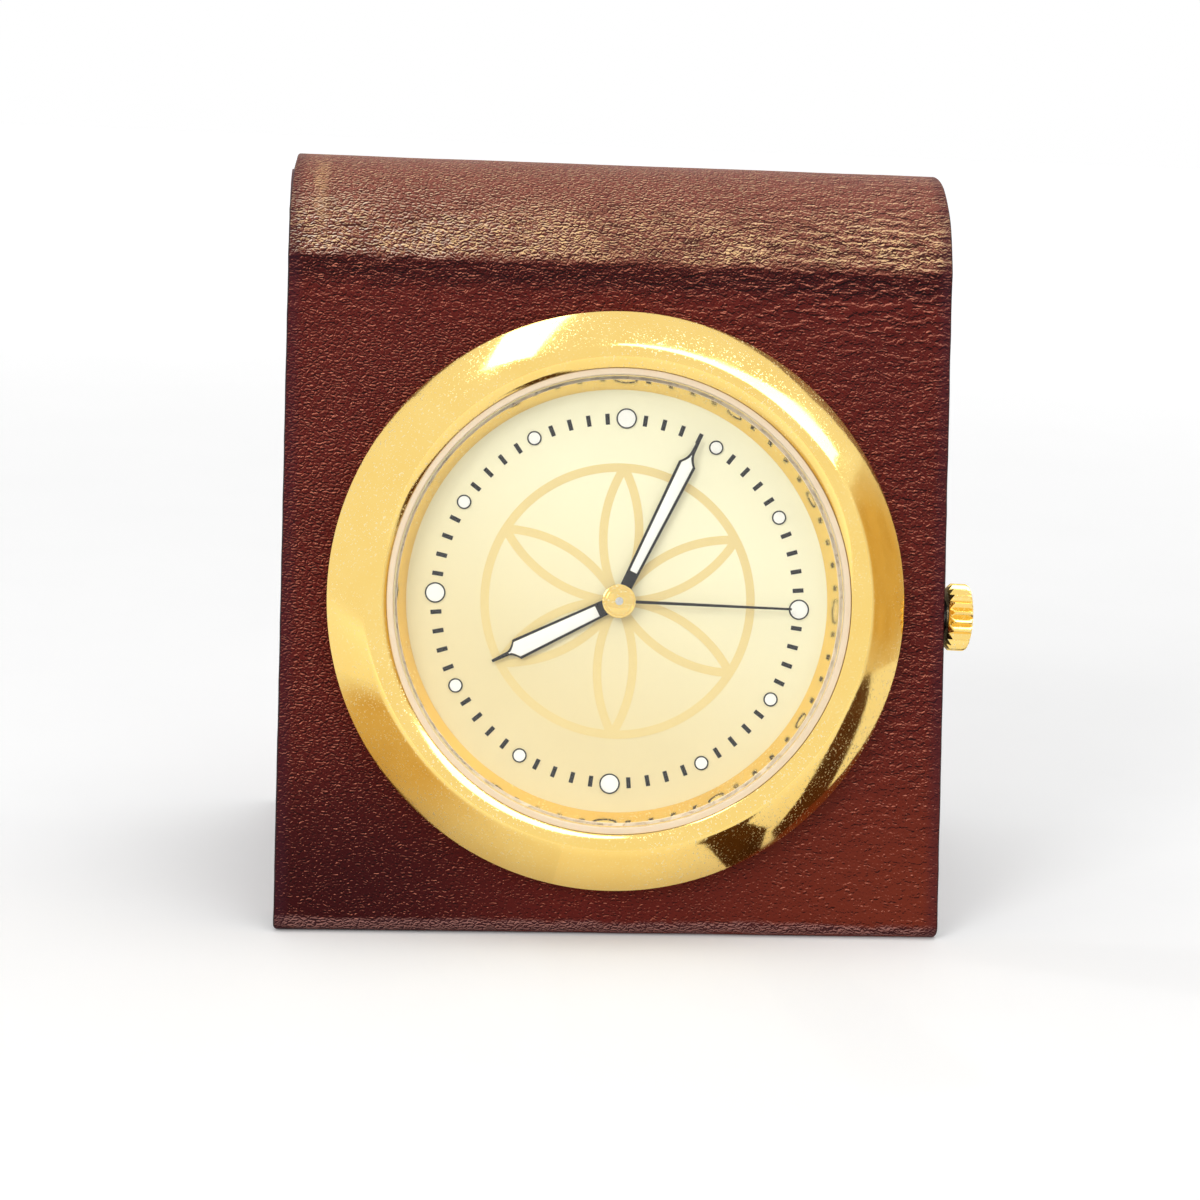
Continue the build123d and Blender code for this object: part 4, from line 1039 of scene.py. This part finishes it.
def end_tree(geometry, material):
    """Realize the copies, give them their finish and hand them out."""
    real = node(geometry, "GeometryNodeRealizeInstances", {"Geometry": geometry})
    dressed = node(real, "GeometryNodeSetMaterial", {"Geometry": real, "Material": material})
    add(real.tree, "NodeGroupOutput", {0: dressed})
    return real.tree


def run_tree(tree, level, **values):
    """The tree's result as a plain mesh, lifted to its level on the head's axis."""
    holder = placed("holder", bpy.data.meshes.new("holder"))
    modifier = holder.modifiers.new("tree", "NODES")
    modifier.node_group = tree
    sockets = {item.name: item for item in tree.interface.items_tree if item.in_out == "INPUT"}
    for label, value in values.items():
        modifier[sockets[label].identifier] = value
    made = result_of(holder)
    made.transform(Matrix.Translation((0, 0, level)))
    return made


def xyz(x, y, z):
    near = next(value for value in (x, y, z) if isinstance(value, Value))
    return node(near, "ShaderNodeCombineXYZ", {0: x, 1: y, 2: z})


def ribbon(curve, width, height, **caps):
    """A curve with a flat rectangular section."""
    section = node(curve, "GeometryNodeCurvePrimitiveQuadrilateral", {"Width": width, "Height": height})
    return node(curve, "GeometryNodeCurveToMesh", {"Curve": curve, "Profile Curve": section, **caps})


# %% Minute strokes between the hours
def stroke_tree():
    tree, given = start_tree(
        "minute_strokes", Count=60, Skip=5, Radius=18.0, Length=1.08, Width=0.42, Thickness=0.03,
    )
    ring = node(tree, "GeometryNodeMeshCircle", {"Vertices": given["Count"], "Radius": given["Radius"]})
    size = xyz(given["Length"], given["Width"], given["Thickness"])
    index = node(tree, "GeometryNodeInputIndex")
    hour = maths("MODULO", index, given["Skip"])
    return end_tree(node(tree, "GeometryNodeInstanceOnPoints", {
        "Points": ring, "Selection": maths("GREATER_THAN", hour, 0.5),
        "Instance": node(tree, "GeometryNodeMeshCube", {"Size": size}),
        "Rotation": xyz(0.0, 0.0, index * (2 * math.pi / given["Count"])),
    }), black_ink)


strokes = run_tree(stroke_tree(), STROKE_LEVEL)
finish_piece("minute_strokes", strokes, black_ink, "front_block")

# %% [markdown]
# Each dot has a fine black ring printed over its edge.  The rings come from one tree that is run
# twice: once for the four large dots and once for the eight small ones.  A yes-or-no input says
# which points of the twelve are used.

# %% Fine rings round the dots
MARKER_CIRCLE = 18.07
LARGE_DOT, SMALL_DOT = 1.0, 0.7
RING_OVERLAP = 0.12


def dot_ring_tree():
    tree, given = start_tree(
        "dot_rings", Count=12, Every=3, Large=True, Circle=MARKER_CIRCLE, Dot=LARGE_DOT, Line=0.13,
        Thickness=0.11,
    )
    points = node(tree, "GeometryNodeMeshCircle", {"Vertices": given["Count"], "Radius": given["Circle"]})
    middle = given["Dot"] + given["Line"] * 0.5
    circle = node(tree, "GeometryNodeCurvePrimitiveCircle", {"Resolution": 40, "Radius": middle})
    rest = maths("MODULO", node(tree, "GeometryNodeInputIndex"), given["Every"])
    quarter = maths("LESS_THAN", rest, 0.5)
    chosen = node(tree, "FunctionNodeBooleanMath", {0: quarter, 1: given["Large"]}, operation="XNOR")
    return end_tree(node(tree, "GeometryNodeInstanceOnPoints", {
        "Points": points, "Instance": ribbon(circle, given["Line"], given["Thickness"]), "Selection": chosen,
    }), black_ink)


dot_rings = dot_ring_tree()
for name, large, size in (("large_dot_rings", True, LARGE_DOT), ("small_dot_rings", False, SMALL_DOT)):
    rings = run_tree(dot_rings, RING_LEVEL, Large=large, Dot=size - RING_OVERLAP)
    finish_piece(name, rings, black_ink, "front_block")

# %% [markdown]
# ## Printed rosette
#
# The dial's middle carries a pale tan print.  A six-petalled rosette drawn with compasses is used:
# six arcs whose centres lie on the outer circle and which all pass through the middle.  Its bands
# are as wide as printed ornament on such dials, and a plain ring closes it.  Bands that cross would
# flicker if their tops were level, so every pair of arcs lies two micrometres above the one before,
# and the ring lies over all.

# %% Six-petalled rosette
def rosette_tree():
    tree, given = start_tree("compass_rosette", Petals=6, Radius=13.2, Band=0.85, Thickness=0.02, Lift=0.002)
    arc = node(tree, "GeometryNodeCurveArc", {
        "Resolution": 48, "Radius": given["Radius"], "Start Angle": math.radians(120),
        "Sweep Angle": math.radians(120),
    })
    petal = node(tree, "GeometryNodeTransform", {
        "Geometry": ribbon(arc, given["Band"], given["Thickness"], **{"Fill Caps": True}),
        "Translation": xyz(given["Radius"], 0.0, 0.0),
    })
    line = node(tree, "GeometryNodeMeshLine", {"Count": given["Petals"], "Offset": (0, 0, 0)})
    index = node(tree, "GeometryNodeInputIndex")
    lift = xyz(0.0, 0.0, maths("FLOOR", index / 2.0) * given["Lift"])
    petals = node(tree, "GeometryNodeInstanceOnPoints", {
        "Points": node(tree, "GeometryNodeSetPosition", {"Geometry": line, "Position": lift}),
        "Instance": petal,
        "Rotation": xyz(0.0, 0.0, index * (2 * math.pi / given["Petals"]) + math.radians(30)),
    })
    border = node(tree, "GeometryNodeCurvePrimitiveCircle", {"Resolution": 160, "Radius": given["Radius"]})
    joined = add(tree, "GeometryNodeJoinGeometry")
    for part in (petals, ribbon(border, given["Band"], given["Thickness"] * 1.6)):
        tree.links.new(part.socket, joined.inputs[0])
    return end_tree(Value(joined.outputs[0]), tan_ink)


rosette = run_tree(rosette_tree(), ROSETTE_LEVEL)
finish_piece("dial_rosette", rosette, tan_ink, "front_block")

# %% [markdown]
# ## Luminous dots
#
# The dots are drops of luminous paint, slightly domed and chalky.  One drop is turned and twelve
# copies of it are joined, so that it stays one piece for the one CAD node it stands for.

# %% Luminous paint and the twelve dots
CHALK = (7000, 3)
lume = grained(
    "luminous_paint", paint(246, 244, 234), paint(255, 254, 248), CHALK, CHALK, 0.55, 0.00001, IOR=1.4,
)
soup = bmesh.new()
for number in range(12):
    size = LARGE_DOT if number % 3 == 0 else SMALL_DOT
    drop = turned_mesh("drop", [
        (0, 1.2), (size, 1.2), (size, 1.25), (size * 0.92, 1.28), (size * 0.6, 1.297), (0, 1.3),
    ], 32, ring=False)
    angle = math.radians(90 - 30 * number)
    drop.transform(Matrix.Translation((MARKER_CIRCLE * math.cos(angle), MARKER_CIRCLE * math.sin(angle), 0)))
    soup.from_mesh(drop)
drops = bpy.data.meshes.new("luminous_dots")
soup.to_mesh(drops)
soup.free()
finish_piece("luminous_dots", drops, lume, "front_block", ("hour_markers",))

# %% [markdown]
# ## Hands
#
# The hands are stamped from thin sheet: a black frame with a window that holds luminous paint.
# From the shoulder they curve in to a needle point.  A flat curve with holes gives such a plate
# directly, and a tiny bevel on the curve gives the stamped edge that catches the light.  The curve
# is turned into a mesh before it is placed.

# %% Flat stamped plates
NECK_WIDTH, TIP_WIDTH = 0.42, 0.28
HAND_BOSS, NEEDLE_BOSS = 1.4, 0.8
FRAME_THICKNESS, PAINT_THICKNESS = 0.15, 0.13


def plate_mesh(name, outlines, low, high, clock_angle, edge=0.02):
    """A bevelled flat plate from closed outlines; inner ones are windows."""
    curve = bpy.data.curves.new(name, "CURVE")
    curve.dimensions, curve.fill_mode = "2D", "BOTH"
    curve.extrude = (high - low) / 2 - edge
    curve.bevel_depth, curve.bevel_resolution, curve.offset = edge, 2, -edge
    for outline in outlines:
        spline = curve.splines.new("POLY")
        spline.points.add(len(outline) - 1)
        for point, (x, y) in zip(spline.points, outline):
            point.co = (x, y, 0, 1)
        spline.use_cyclic_u = True
    mesh = result_of(placed(name, curve))
    mesh.transform(Matrix.Translation((0, 0, (low + high) / 2)))
    mesh.transform(Matrix.Rotation(-math.radians(clock_angle), 4, "Z"))
    return mesh


def circle(radius, steps=48):
    return [(radius * math.cos(2 * math.pi * n / steps), radius * math.sin(2 * math.pi * n / steps))
            for n in range(steps)]


def hand_side(hand, start, start_width, end):
    """One side of a hand from start to end: straight to the shoulder, then curving in to the neck."""
    wide, shoulder, neck = hand["wide"], hand["shoulder"], hand["neck"]
    side = [(start_width / 2, start), (wide / 2, shoulder)]
    for step in range(1, 11):
        share = step / 10
        reach = shoulder + (neck - shoulder) * share
        if reach < end:
            width = NECK_WIDTH + (wide - NECK_WIDTH) * (1 - share) ** 2
            side.append((width / 2, reach))
    return side


def hand_outline(boss, side):
    """A round boss that runs into a blade pointing at 12."""
    start = math.asin(side[0][0] / boss)
    points = []
    for step in range(41):
        angle = math.pi / 2 + start + (2 * math.pi - 2 * start) * step / 40
        points.append((boss * math.cos(angle), boss * math.sin(angle)))
    return points + side[1:] + [(-x, y) for x, y in reversed(side[1:])]


def window_outline(side, border, end):
    """The side drawn in by the border, closed by a narrow end."""
    inner = [(max(x - border, 0.06), y) for x, y in side if y < end - 0.05] + [(0.06, end)]
    return inner + [(-x, y) for x, y in reversed(inner)]


print("plate helpers ready")

# %% Hour, minute and seconds hands
hand_black = printed_ink("black_lacquer", paint(10, 9, 8), paint(22, 20, 18), 0.22)
HANDS = (
    dict(name="hour", body="hour_pipe", clock=242, level=1.55, root=1.5, shoulder=11.1, wide=2.1,
         neck=12.2, tip=13.8, lume=(2.3, 12.0), border=0.25, bore=0.76),
    dict(name="minute", body="minute_arbor", clock=24, level=1.89, root=1.16, shoulder=15.1, wide=1.8,
         neck=16.5, tip=18.0, lume=(3.2, 16.1), border=0.27, bore=0.46),
)
for hand in HANDS:
    name, body, level, clock = (hand[key] for key in ("name", "body", "level", "clock"))
    lume_start, lume_end = hand["lume"]
    side = hand_side(hand, 0, hand["root"], hand["tip"]) + [(TIP_WIDTH / 2, hand["tip"])]
    start_width = hand["root"] + (hand["wide"] - hand["root"]) * lume_start / hand["shoulder"]
    window = window_outline(hand_side(hand, lume_start, start_width, lume_end), hand["border"], lume_end)
    middle = (lume_start + lume_end) / 2
    filling = [(x * 0.97, y + math.copysign(0.02, middle - y)) for x, y in window]
    outlines = [hand_outline(HAND_BOSS, side), window, circle(hand["bore"])]
    plate = plate_mesh(name, outlines, level, level + FRAME_THICKNESS, clock)
    finish_piece(name + "_hand_frame", plate, hand_black, body, (name + "_hand",))
    fill = plate_mesh(name, [filling], level, level + PAINT_THICKNESS, clock)
    finish_piece(name + "_hand_paint", fill, lume, body, (name + "_hand_lume",))
needle_outline = hand_outline(NEEDLE_BOSS, [(0.16, 0), (0.14, 8.6), (0.11, 17.2)])
needle = plate_mesh("seconds", [needle_outline, circle(0.21, 24)], 2.23, 2.33, 90, edge=0.015)
finish_piece("seconds_needle", needle, hand_black, "seconds_arbor", ("seconds_hand",))

# %% [markdown]
# ## Hub
#
# Over the hands sits a gold cap with a raised middle and a steel pin.  Both are turned, with the
# small roundings that a lathe tool leaves, because a sharp edge this small would never catch light.

# %% Cap and pin
def turned_steel(name, low, high, rough):
    """Steel, nickel or brass with fine turning marks round the head's axis."""
    material, shader = new_finish(name, Metallic=1.0)
    place = head_coordinates(material)
    reach = vectors("LENGTH", vectors("MULTIPLY", place, (1, 1, 0)), pick="Value")
    marks = {"W": reach, "Scale": 9.0, "Detail": 3.0}
    lines = node(place, "ShaderNodeTexNoise", marks, noise_dimensions="1D")
    feed(shader, Base_Color=mixed(noise_at(place, 0.3, 2), low, high), Roughness=lines * 0.16 + rough)
    bumped(shader, lines, 0.000004)
    return material


steel = turned_steel("fine_steel", paint(200, 200, 198), paint(222, 222, 220), 0.14)
nickel = turned_steel("nickel_plate", paint(206, 200, 188), paint(224, 220, 210), 0.22)
turned_piece("hub_cap_gold", [
    (0.21, 2.34), (1.62, 2.33), (1.66, 2.37), (1.66, 2.43), (1.62, 2.47), (1.44, 2.475),
    (1.42, 2.38), (1.31, 2.38), (1.29, 2.53), (1.25, 2.55), (0.21, 2.55),
], gold, "seconds_arbor", "hub_cap", 96, sharp=45)
turned_piece("hub_pin_steel", [
    (0, 2.55), (0.38, 2.55), (0.40, 2.57), (0.39, 2.60), (0.30, 2.622), (0, 2.63),
], steel, "seconds_arbor", "hub_pin", 48, sharp=45, ring=False)

# %% [markdown]
# ## Crown
#
# The crown is a small gold knob with V-shaped flutes.  A cone turned on its inner end cuts across
# the flutes, which makes the zigzag line beside the leather.  It is one lathe shape whose radius is
# the smaller of the turned outline and the fluted star, so the zigzag appears by itself.

# %% Fluted crown
FLUTES, FLUTE_DEPTH = 22, 0.44
CROWN_RADIUS, CROWN_LEVEL = 3.4, 2.6
CROWN_START, CROWN_END = 33.58, 36.18
CONE_TOP, CONE_SIZE = 34.13, 0.55
SOCKET, SOCKET_END, BLIND_HOLE = 1.75, 35.18, (0.69, 35.58)


def fluted(radius, level, angle):
    """The smaller of the turned radius and the star of flutes."""
    if radius < 2.6 or level > CROWN_END - 0.02:
        return radius
    share = (angle * FLUTES / (2 * math.pi)) % 1
    star = CROWN_RADIUS + 0.02 - FLUTE_DEPTH * (1 - abs(2 * share - 1))
    return min(radius, star)


dome = ((0, 0), (1.4, 0.03), (2.4, 0.09), (2.9, 0.16), (3.15, 0.24), (3.32, 0.36), (CROWN_RADIUS, 0.52))
crown_outline = [(radius, CROWN_END - drop) for radius, drop in dome]
crown_outline += [(CROWN_RADIUS, level) for level in (35.4, 35.1, 34.8, 34.5, 34.2)]
for step in range(13):
    fall = CONE_SIZE * step / 12
    crown_outline.append((CROWN_RADIUS - fall, CONE_TOP - fall))
crown_outline += [(SOCKET, CROWN_START), (SOCKET, SOCKET_END), (BLIND_HOLE[0], SOCKET_END), BLIND_HOLE]
crown_outline.append((0, BLIND_HOLE[1]))
crown_place = head_place @ Matrix.Translation((0, 0, -CROWN_LEVEL)) @ axes((0, 1, 0), (0, 0, 1), (1, 0, 0))
crown_mesh = turned_mesh("fluted_crown", crown_outline, FLUTES * 12, ring=False, tweak=fluted)
finish_piece("fluted_crown", crown_mesh, gold, "crown_knob", ("crown",), sharp=28, place=crown_place)

# %% [markdown]
# ## The pieces inside and behind
#
# The case back, tube, stem and the whole quartz movement keep their CAD shapes.  Each still gets a
# finish of its own: plated brass wheels with fine turning marks, moulded plastic, copper wire wound
# in close turns, green board lacquer, black rubber.  A table from finish to nodes keeps this short.

# %% Finishes for the movement
def moulded(name, low, high, rough, grain_scale=2600):
    """Moulded plastic, rubber or lacquer with a fine grain."""
    return grained(name, low, high, (240, 2), (grain_scale, 3), rough, 0.00001, IOR=1.47)


def wound_copper():
    material, shader = new_finish("wound_copper", Metallic=1.0)
    turns = {"Vector": own_place(material), "Scale": 2200.0, "Distortion": 0.4}
    wire = node(material.node_tree, "ShaderNodeTexWave", turns, "Fac", bands_direction="X")
    colour = mixed(wire, paint(120, 52, 28), paint(214, 118, 74))
    feed(shader, Base_Color=colour, Roughness=wire * 0.1 + 0.28)
    bumped(shader, wire, 0.00003)
    return material


finishes = {
    nickel: ("case_back", "case_body", "battery", "quartz_can"),
    steel: ("case_back_screws", "crown_tube", "stem", "stem_extension", "movement_clamps",
            "movement_clamp_screws", "bridge_screws", "battery_clamp", "battery_clamp_screw", "stator",
            "coil_core", "rotor", "setting_lever"),
    turned_steel("wheel_brass", paint(206, 164, 84), paint(224, 184, 104), 0.20): (
        "intermediate_wheel", "seconds_wheel", "third_wheel", "centre_wheel", "minute_wheel",
        "hour_wheel", "setting_wheel"),
    moulded("black_rubber", paint(20, 20, 20), paint(34, 33, 32), 0.55): (
        "case_back_gasket", "crown_gasket"),
    moulded("grey_plastic", paint(150, 150, 148), paint(168, 168, 166), 0.40): ("movement_spacer",),
    moulded("black_plastic", paint(24, 24, 26), paint(38, 38, 40), 0.38): (
        "main_plate", "train_bridge", "control_chip"),
    moulded("green_lacquer", paint(18, 84, 52), paint(30, 110, 68), 0.25, 900): ("circuit_board",),
    wound_copper(): ("coil_winding",),
}
for material, names in finishes.items():
    for name in names:
        dress(name, material)
dressed = {name for names in finishes.values() for name in names} | {"dial", "front_board", "leg_board"}
shown = {name for name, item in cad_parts.items() if not item.hide_render}
print("CAD nodes shown", len(shown), "without a finish", sorted(shown - dressed))

# %% [markdown]
# ## Floor, light and background
#
# A pale floor carries the clock and its soft shadow.  The background is white, which comes from the
# floor's and the world's own colour on camera, glossy and see-through rays, and not from more light
# on the clock.  The floor's own colour grows a little with distance, where the lamps don't reach.

# %% Floor
NEAR_GLOW, FAR_GLOW = 0.08, 0.36


def seen_directly(tree):
    """1 on rays that show the room itself: camera, glossy and see-through rays."""
    camera_ray = node(tree, "ShaderNodeLightPath", pick="Is Camera Ray")
    seen = maths("MAXIMUM", camera_ray, camera_ray.other("Is Glossy Ray"))
    return maths("MAXIMUM", seen, camera_ray.other("Is Transmission Ray"))


def pale_floor():
    material, shader = new_finish("pale_floor", Roughness=0.6, Specular_IOR_Level=0.1)
    place = own_place(material)
    feed(shader, Base_Color=mixed(noise_at(place, 40, 3), paint(243, 243, 243), paint(248, 248, 248)))
    reach = vectors("LENGTH", place, pick="Value")
    glow = mask(reach, 0.10, 0.75) * (FAR_GLOW - NEAR_GLOW) + NEAR_GLOW
    bright = node(place, "ShaderNodeEmission", {"Strength": seen_directly(material.node_tree) * glow})
    to_surface(material, "ShaderNodeAddShader", {0: Value(shader.outputs[0]), 1: bright})
    return material


def flat_sheet(name, corners, material):
    made = placed(name, plain_mesh(name, corners, [tuple(range(len(corners)))]))
    made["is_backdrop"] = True
    made.data.materials.append(material)
    return made


flat_sheet("floor", [(-1.6, -1.6, 0), (1.6, -1.6, 0), (1.6, 1.6, 0), (-1.6, 1.6, 0)], pale_floor())
print("floor laid")

# %% [markdown]
# A soft lamp at the upper left, a large one overhead and a plain world give an even level, at which
# a colour renders about as it is written.  The lamps stay out of reflections, which belong to the
# softboxes of the next step.

# %% Lamps and world
WORLD_LIGHT = 0.70
LAMP_TARGET = Vector((0, -0.01, 0.035))
LAMPS = (
    ("key_softbox", (-0.32, -0.42, 0.34), (0.22, 0.22), 1.0),
    ("top_softbox", (0.10, -0.05, 0.62), (0.5, 0.4), 0.9),
)
for name, place, size, watts in LAMPS:
    data = bpy.data.lights.new(name, "AREA")
    data.shape = "RECTANGLE"
    data.size, data.size_y = size
    data.energy = watts
    lamp = placed(name, data)
    aim_way = (LAMP_TARGET - Vector(place)).to_track_quat("-Z", "Y")
    lamp.matrix_world = Matrix.Translation(place) @ aim_way.to_matrix().to_4x4()
    lamp.visible_glossy = False
world = bpy.data.worlds.new("studio")
bpy.context.scene.world = world
world.use_nodes = True
strength = seen_directly(world.node_tree) * (1 - WORLD_LIGHT) + WORLD_LIGHT
feed(world.node_tree.nodes["Background"], Color=(1.0, 1.0, 1.0, 1.0), Strength=strength)
bpy.context.scene.view_settings.view_transform = "Standard"
print("lit")

# %% [markdown]
# ## What the polish mirrors
#
# Polished metal shows the room, so the room is laid out with cards that show in reflections alone.
# Two bright softboxes overhead give the white patch at the bezel's upper left and the long highlight
# at its upper right.  Brown cloth and a strap on the floor give the dark streak and blot at the
# lower right, and tan paper beside the clock deepens the gold at the right and the lower left.

# %% Softboxes and cards
def reflected_card(name, corners, low, high, scale, strength=0.0, fade=0.0):
    """A card, or a softbox if it has a strength, that only mirrors see; sizes in millimetres."""
    corners = [Vector(corner) * MM for corner in corners]
    finish, shader = new_finish(name, Roughness=0.9, Specular_IOR_Level=0.1)
    place = own_place(finish)
    colour = mixed(noise_at(place, scale, 3), low, high)
    if fade:
        away = vectors("DISTANCE", place, sum(corners, Vector()) / len(corners), "Value")
        colour = mixed(mask(away, fade * MM * 0.35, fade * MM), colour, paint(248, 248, 248))
    feed(shader, Base_Color=colour)
    if strength:
        feed(shader, Emission_Color=(1.0, 1.0, 1.0, 1.0), Emission_Strength=strength)
    card = flat_sheet(name, corners, finish)
    for way in ("visible_camera", "visible_diffuse", "visible_shadow", "visible_transmission"):
        setattr(card, way, False)


def at_level(z, *places):
    return [(x, y, z) for x, y in places]


SOFTBOX_LEVEL, CLOTH_LEVEL, STRAP_LEVEL = 560, 0.5, 0.6
SOFTBOX = (paint(240, 240, 240), paint(250, 250, 250), 5)
reflected_card("left_softbox", at_level(
    SOFTBOX_LEVEL, (-51, 225), (-199, 196), (-272, -18), (-148, -59),
), *SOFTBOX, strength=5.0)
reflected_card("long_softbox", at_level(
    SOFTBOX_LEVEL, (26, -60), (120, -48), (300, -24), (520, 30), (820, 10), (760, -420), (420, -640),
    (160, -330), (30, -190),
), *SOFTBOX, strength=4.0)
reflected_card("brown_cloth", at_level(
    CLOTH_LEVEL, (22, -20), (30, -19), (44, -21), (67, -24), (101, -28), (160, -42), (190, -100),
    (120, -110), (54, -36), (35, -28), (23, -24),
), paint(46, 24, 10), paint(96, 54, 26), 90)
reflected_card("dark_strap", at_level(
    STRAP_LEVEL, (13.5, -22), (18, -20), (23, -26), (21, -31), (30, -60), (18, -62), (12, -34),
), paint(52, 30, 12), paint(88, 54, 22), 200)
reflected_card("tan_paper_left", at_level(
    CLOTH_LEVEL, (-8, 10), (-8, -80), (-110, -100), (-110, 20),
), paint(196, 160, 100), paint(230, 208, 166), 30, fade=52)
reflected_card(
    "tan_card_right", [(150, -130, 0.5), (150, 90, 0.5), (150, 90, 110), (150, -130, 110)],
    paint(196, 158, 84), paint(240, 212, 156), 40, fade=85,
)
print("cards laid out")

# %% Print the visual and CAD boxes
shown_low, shown_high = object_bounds()
print("visual box in mm", in_mm(shown_low), in_mm(shown_high))
print("CAD box in mm", in_mm(cad_low), in_mm(cad_high))
